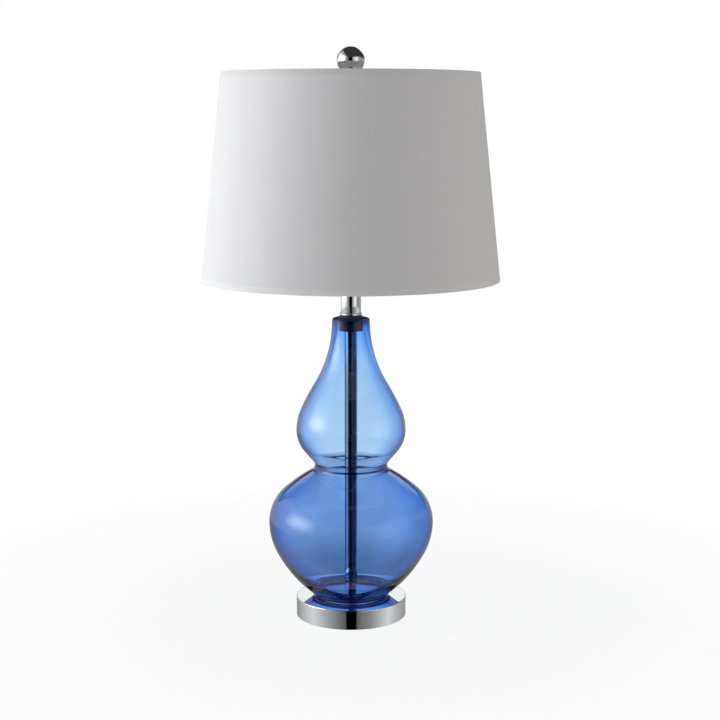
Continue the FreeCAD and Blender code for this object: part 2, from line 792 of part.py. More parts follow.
def spider_arms():
    """Arms that lie flat from the washer and then climb to the top ring."""
    flat = washer_bottom + arm_wire_radius
    reach = ring_radius(top_ring_height)
    climb = top_ring_height - flat
    slant = math.atan2(climb, arm_rise_length)
    start = at(washer_radius - arm_wire_radius, flat)
    knee = at(reach - arm_rise_length, flat)
    knee_in = at(knee.x - arm_knee_length, flat)
    knee_out = at(knee.x + arm_knee_length * math.cos(slant), flat + arm_knee_length * math.sin(slant))
    bend = arm_knee_length / math.tan(slant / 2)
    knee_mid = at(knee_in.x + bend * math.sin(slant / 2), flat + bend * (1 - math.cos(slant / 2)))
    spine = Part.Wire([line(start, knee_in), Part.Arc(knee_in, knee_mid, knee_out).toShape(),
                       line(knee_out, at(reach, top_ring_height))])
    section = Part.Wire(Part.makeCircle(arm_wire_radius, start, FreeCAD.Vector(1, 0, 0)))
    arm = spine.makePipeShell([section], True, False)
    arm = arm.cut(top_ring()).cut(spider_washer())
    arm = max(arm.Solids, key=lambda solid: solid.Volume)
    arms = []
    for number in range(arm_count):
        copy = arm.copy()
        copy.rotate(CENTRE, UP, arm_first_angle + 360 / arm_count * number)
        arms.append(copy)
    return Part.makeCompound(arms)


def spider_washer():
    """Centre plate of the spider; its hole turns on the stud of the harp."""
    return pipe(washer_radius, stud_radius + loose_gap, washer_bottom, washer_top)


# ---------------------------------------------------------------- finial
def finial_base():
    bore = stud_radius + shaft_gap
    foot_top = finial_bottom + finial_base_foot_height
    spigot_top = finial_base_top + finial_spigot_length
    body = turned_points([(0, finial_bottom), (finial_base_foot_radius, finial_bottom),
                          (finial_base_foot_radius, foot_top), (finial_base_radius, foot_top),
                          (finial_base_radius, finial_base_top), (finial_spigot_radius, finial_base_top),
                          (finial_spigot_radius, spigot_top), (0, spigot_top)])
    return body.cut(rod(bore, finial_bottom - cut_spare, stud_top + shaft_gap))


def finial_ball():
    ball = Part.makeSphere(ball_radius, at(0, ball_centre))
    below = rod(ball_radius, ball_bottom - cut_spare, finial_base_top)
    socket = rod(finial_spigot_radius, ball_bottom, finial_base_top + finial_spigot_length)
    return ball.cut(below).cut(socket)


# ---------------------------------------------------------------- every piece, by node name
PIECES = {
    "felt_pad": felt_pad,
    "base_shell": base_shell,
    "base_weight": base_weight,
    "cord_bushing": cord_bushing,
    "base_nut": base_nut,
    "base_lock_washer": base_lock_washer,
    "base_washer": base_washer,
    "foot_gasket": foot_gasket,
    "gourd_glass": gourd_glass,
    "mouth_plug": mouth_plug,
    "centre_tube": centre_tube,
    "threaded_pipe": threaded_pipe,
    "neck_ring": neck_ring,
    "neck_tube": neck_tube,
    "neck_washer": neck_washer,
    "harp_saddle": harp_saddle,
    "harp_wire": harp_wire,
    "harp_disc": harp_disc,
    "sleeve_left": lambda: sleeve(-1),
    "sleeve_right": lambda: sleeve(1),
    "socket_cap": socket_cap,
    "socket_set_screw": socket_set_screw,
    "socket_shell": socket_shell,
    "socket_liner": socket_liner,
    "socket_body": socket_body,
    "terminal_screws": terminal_screws,
    "screw_shell": screw_shell,
    "centre_contact": centre_contact,
    "switch_shaft": switch_shaft,
    "switch_knob": switch_knob,
    "bulb_contact": bulb_contact,
    "bulb_insulator": bulb_insulator,
    "bulb_screw_cap": bulb_screw_cap,
    "bulb_housing": bulb_housing,
    "bulb_globe": bulb_globe,
    "shade_cover": shade_cover,
    "shade_liner": shade_liner,
    "top_ring": top_ring,
    "bottom_ring": bottom_ring,
    "spider_arms": spider_arms,
    "spider_washer": spider_washer,
    "finial_base": finial_base,
    "finial_ball": finial_ball,
}


def main():
    os.makedirs("parts", exist_ok=True)
    for name, make in PIECES.items():
        shape = make()
        assert shape.isValid(), name
        shape.exportStep("parts/" + name + ".step")
        box = shape.BoundBox
        print(f"{name:18} solids {len(shape.Solids)}  volume {shape.Volume:10.1f}  "
              f"x {box.XMin:7.1f} {box.XMax:7.1f}  y {box.YMin:7.1f} {box.YMax:7.1f}  "
              f"z {box.ZMin:6.1f} {box.ZMax:6.1f}")


main()
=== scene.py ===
"""Table lamp in a plain studio: a blue glass double gourd on a chrome foot, under a white cone shade.

Sizes are in millimetres and degrees here, and every mesh takes them in metres through MM.
The lamp's axis is Z, its front is -Y and the cord outlet is at the back, +Y.
"""
import json
import math

import bmesh
import bpy
from mathutils import Matrix, Vector


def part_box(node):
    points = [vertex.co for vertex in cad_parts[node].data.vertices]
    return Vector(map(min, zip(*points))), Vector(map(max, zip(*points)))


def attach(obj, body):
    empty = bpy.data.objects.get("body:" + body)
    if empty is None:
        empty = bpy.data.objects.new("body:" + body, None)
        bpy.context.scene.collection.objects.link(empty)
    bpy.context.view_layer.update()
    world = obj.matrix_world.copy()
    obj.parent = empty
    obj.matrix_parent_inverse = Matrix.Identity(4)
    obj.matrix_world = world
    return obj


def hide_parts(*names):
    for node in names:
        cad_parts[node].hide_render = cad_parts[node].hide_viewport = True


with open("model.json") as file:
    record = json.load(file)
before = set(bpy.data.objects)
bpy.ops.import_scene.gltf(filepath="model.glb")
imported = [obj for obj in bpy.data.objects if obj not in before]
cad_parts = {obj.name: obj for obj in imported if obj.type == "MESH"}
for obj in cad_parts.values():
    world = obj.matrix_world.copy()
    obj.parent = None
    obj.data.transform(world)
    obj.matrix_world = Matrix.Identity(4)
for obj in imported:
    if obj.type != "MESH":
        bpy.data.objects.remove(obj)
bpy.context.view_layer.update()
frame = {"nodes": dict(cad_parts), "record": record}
scene = bpy.context.scene
# Body and material slot of each CAD node, as in the frame's record.
BODIES = {node: body for body, nodes in frame["record"]["behaviour"]["bodies"].items() for node in nodes}
SLOTS = {part["node"]: part["material_slot"] for part in frame["record"]["subparts"]}

MM = 0.001
TURN = 2 * math.pi
# Edges stay crisp where faces meet more sharply than this; pieces with a cut relief take the second.
SHARP, CUT_SHARP = math.radians(40), math.radians(60)
MERGE_DISTANCE = 0.004

# ---------------- sizes of the glass, as in the solid
FOOT_R = 40.0
LOWER_R, LOWER_Z = 94.5, 111.3
LOWER_UNDER, LOWER_UNDER_ANGLE = 73.3, 27.8
LOWER_OVER, LOWER_OVER_ANGLE = 49.1, 49.6
WAIST_R, WAIST_Z, WAIST_HOLLOW = 41.6, 177.6, 7.6
UPPER_R, UPPER_Z = 62.6, 218.5
UPPER_UNDER, UPPER_UNDER_ANGLE = 36.6, 40.0
SHOULDER, SHOULDER_ANGLE = 58.4, 24.1
SLOPE, SLOPE_ANGLE = 260.0, 31.5
NECK_R, NECK_Z, NECK_TAPER = 21.6, 340.0, 2.6
WALLS = {"neck": 7.6, "upper": 2.8, "lower": 2.8, "foot": 5.2}
RIDGE_R, RIDGE_Z, RIDGE_HOLLOW = 38.8, 176.4, 4.2
MOUTH_ROUND = 1.8
FOOT_ROUND = 2.0
FOOT_LIP = 5.0

# ---------------- sizes of the other pieces
BASE_WALL = 1.2
BASE_ROUND = 1.0
BASE_LIP_ROUND = 0.5
BUSHING_BORE = 3.2
BUSHING_BARREL = 4.5
BUSHING_FLANGE = 1.8
TUBE_WALL = 1.0
NECK_RING_ROUND = 0.8
PLUG_BOSS_R = 12.4
PLUG_FLANGE = 1.5
# Wire of the harp and of the shade's rings and arms.
WIRE_R = 1.6
HARP_SPAN = 29.0
HARP_STRAIGHT_TOP = 420.0
HARP_HALF_WIDTH = 57.0
HARP_WIDEST_DROP = 97.4
HARP_CROWN = 30.0
SLEEVE_BODY = 2.9
SLEEVE_LIP = 1.6
STUD_R = 3.15
STUD_PITCH, STUD_DEPTH = 0.94, 0.42
SHADE_TOP_R = 143.7
COVER_WALL = 0.8
LINER_WALL = 0.5
HEM_HEIGHT = 7.0
HEM_PROUD = 0.15
SEAM_WIDTH = 14.0
SEAM_PROUD = 0.5
SEAM_SUNK = 0.3
SEAM_AZIMUTH = 90.0
SEAM_ROWS, SEAM_COLUMNS = 24, 6
ARM_RISE = 22.0
ARM_KNEE = 5.5
WASHER_BORE = 3.45
FINIAL_FOOT_HEIGHT = 2.0
FINIAL_STEM = 6.5
CAP_WALL = 0.8
CAP_BOSS_R, CAP_BOSS_HEIGHT, CAP_BOWL_HEIGHT = 7.5, 7.0, 9.0
SHELL_R, SHELL_WALL, SHELL_RING_DROP = 16.7, 0.6, 12
KNOB_TIP_R = 5.6
KNOB_FLUTES, KNOB_FLUTE_DEPTH = 16, 0.7
BULB_PITCH, BULB_THREAD = 3.6, 1.0
BULB_CAP_WALL = 0.5
BULB_COLLAR_R = 14.2
BULB_RIBS, RIB_DEPTH = 36, 0.6

# ---------------- tints of the glass
# Painted shade by how far the glass turns from the eye, from straight on to grazing: darker towards its
# edges.
PAINTED_EDGE_SHADE = [(0.0, (1.0, 1.0, 1.0)), (0.22, (1.0, 1.0, 1.0)), (0.32, (0.86, 0.92, 0.98)),
             (0.45, (0.68, 0.80, 0.95)), (0.6, (0.54, 0.66, 0.90)), (0.75, (0.40, 0.46, 0.76)),
             (0.88, (0.22, 0.21, 0.40)), (1.0, (0.08, 0.06, 0.12))]
# Bands of painted shade where the wall is drawn in and the glass lies thick: heights from, full, full, to,
# and widest radius.
PAINTED_SHADE_BANDS = [(174.4, 175.2, 176.2, 177.0, 43.2), (22.0, 23.0, 28.0, 30.0, 35.4),
               (22.0, 23.0, 24.2, 24.8, 41.2), (25.6, 26.4, 30.2, 31.8, 46.0)]
BAND_FADE = 0.4
# Colour of the painted shade in the bands.
PAINTED_BAND_SHADE = (0.05, 0.05, 0.12, 1)
# The bands of painted shade below this height belong to the ground foot, which is matt.
GROUND_TOP = 40.0
LOWER_TINT = (0.68, 0.80, 0.98, 1)
# Painted shade round the mouth, in the top of the neck.
PAINTED_MOUTH_SHADE = (0.26, 0.27, 0.42, 1)
CLEAR = (1.0, 1.0, 1.0, 1)
# Heights between which the tint of the foot and the lower bulb, and the painted shade at the mouth, change.
FOOT_STEP, WAIST_STEP, MOUTH_STEP = (30, 52), (168, 192), (338, 346)
SHADOW_TINT = (0.62, 0.80, 0.97, 1)
GLASS_BLUE, GLASS_DEPTH = (0.02, 0.54, 0.98, 1), 160.0
# Width of a thread of the shade's cloth.
THREAD = 0.55

# ---------------- camera and studio, with places and sizes in metres
CAMERA_PLACE = (0.0103, -1.7531, 0.573)
CAMERA_DIP = 8.88
CAMERA_LENS = 77.9
# Brightness of the studio by direction about the lamp: 0 at the front, 90 at the right.
WALLS_SEEN = [(-180, 0.5), (-150, 0.6), (-112, 1.1), (-75, 1.1), (-48, 0.64), (-24, 0.18), (-11.5, 0.012),
              (-10.5, 0.0), (10.5, 0.0), (11.5, 0.012), (22, 0.45), (52, 1.02), (72, 0.42), (92, 0.23),
              (120, 0.4), (150, 0.45), (180, 0.5)]
FLOOR_SEEN = [(-180, 0.34), (-147, 0.33), (-108, 0.62), (-85, 0.74), (-60, 0.48), (-40, 0.31), (-23, 0.19),
              (-10.5, 0.10), (-9.5, 0.0), (11, 0.0), (12, 0.10), (23, 0.19), (40, 0.25), (60, 0.45),
              (85, 0.74), (108, 0.52), (147, 0.33), (180, 0.34)]
# Where the dark ceiling starts, as the sine of the height above level, and its brightness.
CEILING = [(-180, 0.05), (-145, 0.1), (-128, 0.76), (-60, 0.7), (-25, 0.42), (80, 0.4), (110, 0.25),
           (140, 0.06), (180, 0.05)]
CEILING_SEEN = 0.035
KEY_GLOW = [(-180, 0.0), (-108, 0.0), (-86, 1.0), (-74, 1.0), (-50, 0.0), (180, 0.0)]
GLOW = 5.0
# The same, as the column inside the glass and the far glass wall mirror it.
INSIDE_SEEN = [(-180, (1.0, 1.0, 1.0)), (-150, (0.7, 0.7, 0.75)), (-130, (0.25, 0.25, 0.35)),
               (-115, (0.3, 0.3, 0.4)), (-100, (1.5, 1.5, 1.5)), (-70, (1.5, 1.5, 1.5)),
               (-52, (0.25, 0.25, 0.3)), (-42, (0.01, 0.01, 0.02)), (8, (0.0, 0.0, 0.005)),
               (17, (0.15, 0.14, 0.21)), (30, (0.15, 0.14, 0.21)), (50, (0.06, 0.055, 0.12)),
               (90, (0.06, 0.05, 0.12)), (108, (0.3, 0.3, 0.42)), (130, (1.0, 1.0, 1.0)),
               (180, (1.0, 1.0, 1.0))]
# Brightness of the floor through the glass, by distance from the lamp: a painted shadow, darker near it.
FLOOR_THROUGH_PAINTED_SHADOW = [(0, 0.38), (0.14, 0.40), (0.2, 0.46), (0.28, 0.60), (0.36, 0.74), (0.5, 0.80),
                 (0.7, 0.88), (0.95, 1.06)]
FLOOR_HALF = 8.0
AMBIENT = 0.415
COOL, WARM = (0.975, 0.982, 1.0), (1.0, 0.92, 0.84)
# Soft boxes: name, place, height of the point on the axis that they face, side, power and colour.
LIGHTS = [("key_softbox", (-1.49, -0.16, 0.22), 0.40, 1.0, 20.5, COOL),
          ("fill_softbox", (1.8, 0.2, 0.2), 0.40, 1.0, 4.2, WARM),
          ("left_bounce", (-0.75, -0.25, 0.03), 0.36, 0.4, 1.1, COOL),
          ("right_bounce", (0.62, -0.62, 0.03), 0.36, 0.4, 1.0, WARM)]


# ---------------- small helpers
def linear(red, green, blue):
    """Scene colour of a display colour whose channels run from 0 to 255."""
    channels = []
    for channel in (red, green, blue):
        share = channel / 255
        channels.append(share / 12.92 if share <= 0.04045 else ((share + 0.055) / 1.055) ** 2.4)
    return (*channels, 1.0)


def grey(value):
    return (value, value, value, 1.0)


class Span:
    """Reach of a CAD node in millimetres: its radius or right end, and its ends in height and depth."""

    def __init__(self, node):
        low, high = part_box(node)
        self.radius = high.x / MM
        self.bottom, self.top = low.z / MM, high.z / MM
        self.front, self.back = low.y / MM, high.y / MM
        self.middle = (low.z + high.z) / 2 / MM


PIPE_HOLE = Span("threaded_pipe").radius + 0.2


class Value:
    """Output of a node. Sums, differences, products and quotients of values add math nodes."""

    def __init__(self, socket):
        self.socket = socket
        self.tree = socket.id_data

    def __add__(self, other):
        return calculate("ADD", self, other)

    def __sub__(self, other):
        return calculate("SUBTRACT", self, other)

    def __rsub__(self, other):
        return calculate("SUBTRACT", other, self)

    def __mul__(self, other):
        return calculate("MULTIPLY", self, other)

    def __truediv__(self, other):
        return calculate("DIVIDE", self, other)


def feed(socket, value):
    """Link an output to an input, or set the input to a plain value."""
    if isinstance(value, Value):
        value.tree.links.new(value.socket, socket)
    else:
        socket.default_value = value


def add_node(tree, kind, inputs=None, **settings):
    """New node whose inputs, by name or number, are plain values or the outputs of other nodes."""
    node = tree.nodes.new(kind)
    for name, value in settings.items():
        setattr(node, name, value)
    for socket, value in (inputs or {}).items():
        feed(node.inputs[socket], value)
    return node


def add(tree, kind, inputs=None, output=0, **settings):
    """One output of a new node."""
    return Value(add_node(tree, kind, inputs, **settings).outputs[output])


def outputs_of(node):
    return {socket.name: Value(socket) for socket in node.outputs}


def tree_of(*values):
    return next(value.tree for value in values if isinstance(value, Value))


def calculate(operation, *values):
    return add(tree_of(*values), "ShaderNodeMath", dict(enumerate(values)), operation=operation)


def scaled(value, factor, offset):
    return calculate("MULTIPLY_ADD", value, factor, offset)


def split(vector):
    return [Value(part) for part in add_node(vector.tree, "ShaderNodeSeparateXYZ", {0: vector}).outputs]


def join(*parts):
    return add(tree_of(*parts), "ShaderNodeCombineXYZ", dict(enumerate(parts)))


def length_of(vector):
    return add(vector.tree, "ShaderNodeVectorMath", {0: vector}, "Value", operation="LENGTH")


def window(value, low, high):
    """Smooth step from 0 at the low value to 1 at the high one."""
    return add(value.tree, "ShaderNodeMapRange", {"Value": value, "From Min": low, "From Max": high},
               interpolation_type="SMOOTHSTEP")


def ramp(factor, stops, low=-180, high=180):
    """Colour ramp through stops of place and colour or brightness; places run from low to high."""
    node = add_node(factor.tree, "ShaderNodeValToRGB", {0: factor})
    elements = node.color_ramp.elements
    while len(elements) < len(stops):
        elements.new(0.5)
    for element, (place, value) in zip(elements, stops):
        element.position = (place - low) / (high - low)
        element.color = (*value, 1.0) if isinstance(value, tuple) else grey(value)
    return Value(node.outputs[0])


def mix(factor, first, second, kind="RGBA", blend="MIX"):
    """Blend of two colours, or of two numbers where the kind is FLOAT."""
    return add(tree_of(factor, first, second), "ShaderNodeMix", {"Factor": factor, "A": first, "B": second},
               "Result", data_type=kind, blend_type=blend)


def place_on(tree):
    """Place on the piece, in metres."""
    return add(tree, "ShaderNodeTexCoord", output="Object")


def noise_at(place, scale, detail, **inputs):
    return add(place.tree, "ShaderNodeTexNoise",
               {"Vector": place, "Scale": scale, "Detail": detail, **inputs})


def new_tree(name, inputs, outputs, kind="Shader"):
    """Node group and both its ends. Inputs have a number each as default, or the name of a type."""
    tree = bpy.data.node_groups.new(name, kind + "NodeTree")
    types = {int: "NodeSocketInt", float: "NodeSocketFloat"}
    for label, value in inputs.items():
        if isinstance(value, str):
            tree.interface.new_socket(label, in_out="INPUT", socket_type="NodeSocket" + value)
        else:
            socket = tree.interface.new_socket(label, in_out="INPUT", socket_type=types[type(value)])
            socket.default_value = value
    for label in outputs:
        socket_type = "NodeSocketFloat" if kind == "Shader" else "NodeSocketGeometry"
        tree.interface.new_socket(label, in_out="OUTPUT", socket_type=socket_type)
    return tree, outputs_of(tree.nodes.new("NodeGroupInput")), tree.nodes.new("NodeGroupOutput").inputs


# ---------------- geometry trees
def finish_shape(tree, shape, ends, out):
    """Last nodes of every shape: smooth faces, crisp edges where they turn sharply, and a finish."""
    smooth = add(tree, "GeometryNodeSetShadeSmooth", {"Geometry": shape, "Shade Smooth": True}, domain="FACE")
    angle = add(tree, "GeometryNodeInputMeshEdgeAngle", output="Unsigned Angle")
    sharp = calculate("GREATER_THAN", angle, ends["Sharp Angle"])
    crisp = add(tree, "GeometryNodeSetShadeSmooth",
                {"Geometry": smooth, "Selection": sharp, "Shade Smooth": False}, domain="EDGE")
    plain = add(tree, "GeometryNodeRealizeInstances", {"Geometry": crisp})
    finished = add(tree, "GeometryNodeSetMaterial", {"Geometry": plain, "Material": ends["Finish"]})
    feed(out["Geometry"], finished)


def turned_tree():
    """Turns a half section about Z. Where its relief attribute is 1, flutes and a thread cut in."""
    tree, ends, out = new_tree(
        "turned piece", {"Geometry": "Geometry", "Segments": 96, "Flutes": 12, "Flute Depth": 0.0,
                         "Thread Pitch": 1.0, "Thread Depth": 0.0, "Sharp Angle": SHARP,
                         "Finish": "Material"}, ["Geometry"], "Geometry")
    section = ends["Geometry"]
    count = add(tree, "GeometryNodeAttributeDomainSize", {"Geometry": section})
    grid = add(tree, "GeometryNodeMeshGrid",
               {"Vertices X": ends["Segments"] + 1, "Vertices Y": count}, "Mesh")
    index = add(tree, "GeometryNodeInputIndex")
    row = calculate("FLOORED_MODULO", index, count)
    column = calculate("FLOOR", (index + 0.5) / count)
    angle = column / ends["Segments"] * TURN

    def sampled(value, kind):
        """A value of the section at each row of the grid."""
        return add(tree, "GeometryNodeSampleIndex", {"Geometry": section, "Value": value, "Index": row},
                   data_type=kind)

    def wave(phase, depth):
        """Cut from nothing to the full depth as the phase goes round."""
        return scaled(calculate("COSINE", phase), 0.5, 0.5) * depth

    radius, _, height = split(sampled(add(tree, "GeometryNodeInputPosition"), "FLOAT_VECTOR"))
    marks = add(tree, "GeometryNodeInputNamedAttribute", {"Name": "relief"}, data_type="FLOAT")
    flute = wave(angle * ends["Flutes"], ends["Flute Depth"])
    thread = wave(height / ends["Thread Pitch"] * TURN - angle, ends["Thread Depth"])
    radius = radius - (flute + thread) * sampled(marks, "FLOAT")
    spread = join(radius * calculate("COSINE", angle), radius * calculate("SINE", angle), height)
    placed = add(tree, "GeometryNodeSetPosition", {"Geometry": grid, "Position": spread})
    closed = add(tree, "GeometryNodeMergeByDistance", {"Geometry": placed, "Distance": MERGE_DISTANCE * MM})
    finish_shape(tree, closed, ends, out)
    return tree


def wire_tree():
    """Round wire along a path, repeated about Z."""
    tree, ends, out = new_tree(
        "bent wire", {"Geometry": "Geometry", "Wire Radius": 1.0, "Sides": 20, "Copies": 1,
                      "Sharp Angle": math.radians(50), "Finish": "Material"}, ["Geometry"], "Geometry")
    path = add(tree, "GeometryNodeMeshToCurve", {"Mesh": ends["Geometry"]})
    section = add(tree, "GeometryNodeCurvePrimitiveCircle",
                  {"Resolution": ends["Sides"], "Radius": ends["Wire Radius"]})
    tube = add(tree, "GeometryNodeCurveToMesh", {"Curve": path, "Profile Curve": section, "Fill Caps": True})
    spots = add(tree, "GeometryNodePoints", {"Count": ends["Copies"]})
    angle = add(tree, "GeometryNodeInputIndex") / ends["Copies"] * TURN
    copies = add(tree, "GeometryNodeInstanceOnPoints",
                 {"Points": spots, "Instance": tube, "Rotation": join(0.0, 0.0, angle)})
    finish_shape(tree, add(tree, "GeometryNodeRealizeInstances", {"Geometry": copies}), ends, out)
    return tree


TURNED = turned_tree()
WIRE = wire_tree()


def grow(piece, tree, **values):
    """Run a geometry tree on a piece, with _ for a space in its inputs, and keep the plain mesh."""
    modifier = piece.modifiers.new(tree.name, "NODES")
    modifier.node_group = tree
    for socket in tree.interface.items_tree:
        label = socket.name.replace(" ", "_")
        if socket.in_out == "INPUT" and label in values:
            modifier[socket.identifier] = values[label]
    settle(piece)


def settle(piece):
    """Turn a piece with modifiers into a plain mesh."""
    bpy.context.view_layer.update()
    drawn = piece.evaluated_get(bpy.context.evaluated_depsgraph_get())
    mesh = bpy.data.meshes.new_from_object(drawn)
    mesh.name = piece.name
    piece.modifiers.clear()
    piece.data = mesh


def new_piece(name, points, faces=None):
    """Mesh object from points in millimetres: a line through them, unless faces are given."""
    mesh = bpy.data.meshes.new(name)
    links = [] if faces else [(spot, spot + 1) for spot in range(len(points) - 1)]
    mesh.from_pydata([Vector(point) * MM for point in points], links, faces or [])
    piece = bpy.data.objects.new(name, mesh)
    scene.collection.objects.link(piece)
    return piece


def turned(name, outline, slot, closed=True, relief=(), segments=96, **shape):
    """Piece turned from an outline of radius and height, drawn anticlockwise.

    relief gives a radius beyond which, and the heights between which, flutes or a thread cut in.
    """
    outline = list(outline) + list(outline[:1] if closed else [])
    piece = new_piece(name, [(radius, 0, height) for radius, height in outline])
    marks = piece.data.attributes.new("relief", "FLOAT", "POINT")
    if relief:
        inner, low, high = relief
        for mark, (radius, height) in zip(marks.data, outline):
            mark.value = float(radius > inner and low <= height <= high)
    grow(piece, TURNED, Segments=segments, Finish=FINISHES[slot], **shape)
    return piece


def aim(piece, way, place):
    """Turn a piece that was made about Z so that Z points another way, and move it, in millimetres."""
    quarters = {"Z": 0, "Y": -1, "-Y": 1}[way]
    turn = Matrix.Rotation(quarters * math.pi / 2, 4, "X") if quarters else Matrix()
    piece.data.transform(Matrix.Translation(Vector(place) * MM) @ turn)


def seat(piece, body, slot, *nodes):
    """Put a finished piece on its body, in place of its CAD nodes. The slot is not used."""
    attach(piece, body)
    if nodes:
        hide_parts(*nodes)


def fit_turned(node, made, outline, way=None, place=None, **shape):
    """Turned piece in place of a CAD node; made says in its name how the real one is made."""
    piece = turned(f"{node}_{made}", outline, SLOTS[node], **shape)
    if way:
        aim(piece, way, place)
    seat(piece, BODIES[node], SLOTS[node], node)


def fit_tube(node, made, bore, rounding=0.3, **shape):
    """Tube or washer with rounded edges, as wide and high as its CAD node."""
    span = Span(node)
    corners = [(bore, span.bottom), (span.radius, span.bottom), (span.radius, span.top), (bore, span.top)]
    fit_turned(node, made, rounded([(*corner, rounding) for corner in corners], 3), **shape)


def fit_wire(node, path, copies=1, closed=False, sides=20):
    """Wire along a path of points in millimetres, in place of a CAD node."""
    piece = new_piece(node + "_bent", path)
    if closed:
        piece.data.edges.add(1)
        piece.data.edges[-1].vertices = (len(path) - 1, 0)
    grow(piece, WIRE, Wire_Radius=WIRE_R * MM, Sides=sides, Copies=copies, Finish=FINISHES[SLOTS[node]])
    seat(piece, BODIES[node], SLOTS[node], node)


# ---------------- outlines
def heading(degrees):
    """Direction in a half section, anticlockwise from straight out."""
    angle = math.radians(degrees)
    return Vector((math.cos(angle), math.sin(angle)))


def sweep(centre, radius, first, last, step=4.0):
    """Points of an arc about a centre, from one direction to another, in degrees."""
    steps = max(2, math.ceil(abs(last - first) / step))
    spots = []
    for number in range(steps + 1):
        angle = math.radians(first + (last - first) * number / steps)
        spots.append((centre[0] + radius * math.cos(angle), centre[1] + radius * math.sin(angle)))
    return spots


def rounded(corners, steps=6):
    """Outline through corners of radius, height and, where it is rounded, rounding."""
    outline = []
    for before, corner, after in zip(corners[-1:] + corners[:-1], corners, corners[1:] + corners[:1]):
        here = Vector(corner[:2])
        if len(corner) < 3:
            outline.append(tuple(here))
            continue
        back = (Vector(before[:2]) - here).normalized()
        onward = (Vector(after[:2]) - here).normalized()
        half = back.angle(onward) / 2
        centre = here + (back + onward).normalized() * corner[2] / math.sin(half)
        start = here + back * corner[2] / math.tan(half) - centre
        end = here + onward * corner[2] / math.tan(half) - centre
        first = math.atan2(start.y, start.x)
        turn = (math.atan2(end.y, end.x) - first + math.pi) % TURN - math.pi
        for number in range(steps + 1):
            angle = first + turn * number / steps
            outline.append((centre.x + corner[2] * math.cos(angle), centre.y + corner[2] * math.sin(angle)))
    return outline


def climb(radius, bottom, top, step):
    """Points straight up a side, close enough together for a thread."""
    steps = math.ceil((top - bottom) / step)
    return [(radius, bottom + (top - bottom) * number / steps) for number in range(steps + 1)]


def disc_outline(radius, bottom, top, rounding):
    """Open outline of a solid disc, from the middle of its underside to the middle of its top."""
    return rounded([(0, bottom), (radius, bottom, rounding), (radius, top, rounding), (0, top)], 4)


def coned(first, last, bottom, top, first_round, last_round, twelfths):
    """Open outline of a solid cone, with points on its side at these twelfths of its height."""
    outline = rounded([(0, bottom), (first, bottom, first_round), (last, top, last_round), (0, top)], 5)
    outline[7:7] = [(first + (last - first) * step / 12, bottom + (top - bottom) * step / 12)
                    for step in twelfths]
    return outline


def ball_outline(ball):
    """Open outline of a ball, or of one cut flat below."""
    centre = ball.top - ball.radius
    first = math.degrees(math.asin((ball.bottom - centre) / ball.radius))
    return [(0, ball.bottom)] + sweep((0, centre), ball.radius, first, 90, 3)


# ---------------- shader groups
def smudge_group():
    """Soft, uneven haze, as of handling and polishing, and its height."""
    tree, ends, out = new_tree("soft haze", {"Scale": 20.0, "Low": 0.4, "High": 0.7}, ["Haze", "Height"])
    noise = noise_at(place_on(tree), ends["Scale"], 5.0, Roughness=0.6)
    feed(out["Haze"], add(tree, "ShaderNodeMapRange",
                          {"Value": noise, "From Min": ends["Low"], "From Max": ends["High"]}))
    feed(out["Height"], noise)
    return tree


def grain_group():
    """Fine even grain, as of moulded plastic, cast iron or rubber."""
    tree, ends, out = new_tree("fine grain", {"Scale": 900.0}, ["Grain", "Patches"])
    spot = place_on(tree)
    feed(out["Grain"], noise_at(spot, ends["Scale"], 3.0, Roughness=0.6))
    feed(out["Patches"], noise_at(spot, ends["Scale"] * 0.04, 2.0))
    return tree


def round_group():
    """Place on a piece that is round about Z: the way round at a given radius, and the height."""
    tree, ends, out = new_tree("way round", {"Radius": 0.1}, ["Around", "Height"])
    across, deep, height = split(place_on(tree))
    feed(out["Around"], calculate("ARCTAN2", across, deep * -1) * ends["Radius"])
    feed(out["Height"], height)
    return tree


def streaks(place, around, along, detail):
    """Noise drawn out along or around a round piece."""
    return noise_at(join(place["Around"] * around, place["Height"] * along), 1.0, detail)


def weave_group():
    """Plain weave with slubs: over and under threads, their height, and their shade: random tone of the slubs
    with painted shade where threads sink.
    """
    tree, ends, out = new_tree("plain weave", {"Around": 0.0, "Height": 0.0, "Thread": 0.5},
                               ["Relief", "Shade"])
    across = ends["Around"] / ends["Thread"]
    along = ends["Height"] / ends["Thread"]

    def thread(side, length, offset):
        """Ridge of the threads that lie side by side, rising over every other crossing."""
        ridge = calculate("ABSOLUTE", calculate("SINE", side * math.pi))
        beat = (length + (calculate("FLOOR", side) + offset)) * math.pi
        return ridge * scaled(calculate("SINE", beat), 0.5, 0.5)

    relief = calculate("MAXIMUM", thread(across, along, 0.0), thread(along, across, 1.0))
    feed(out["Relief"], relief)
    # Shade: the slubs' random tone, and painted shade where the threads sink.
    feed(out["Shade"], scaled(streaks(ends, 60.0, 900.0, 3.0), 0.5, relief * 0.5))
    return tree


HAZE = smudge_group()
GRAIN = grain_group()
ROUND = round_group()
WEAVE = weave_group()


# ---------------- finishes
def new_finish(name, **values):
    """Material with a Principled shader set by socket name, where _ stands for a space."""
    finish = bpy.data.materials.new(name)
    finish.use_nodes = True
    tree = finish.node_tree
    shader = tree.nodes["Principled BSDF"]
    for socket, value in values.items():
        shader.inputs[socket.replace("_", " ")].default_value = value
    return finish, tree, shader


def use_group(tree, group, **inputs):
    return outputs_of(add_node(tree, "ShaderNodeGroup", inputs, node_tree=group))


def vary(shader, socket, factor, low, high):
    feed(shader.inputs[socket],
         add(factor.tree, "ShaderNodeMapRange", {"Value": factor, "To Min": low, "To Max": high}))


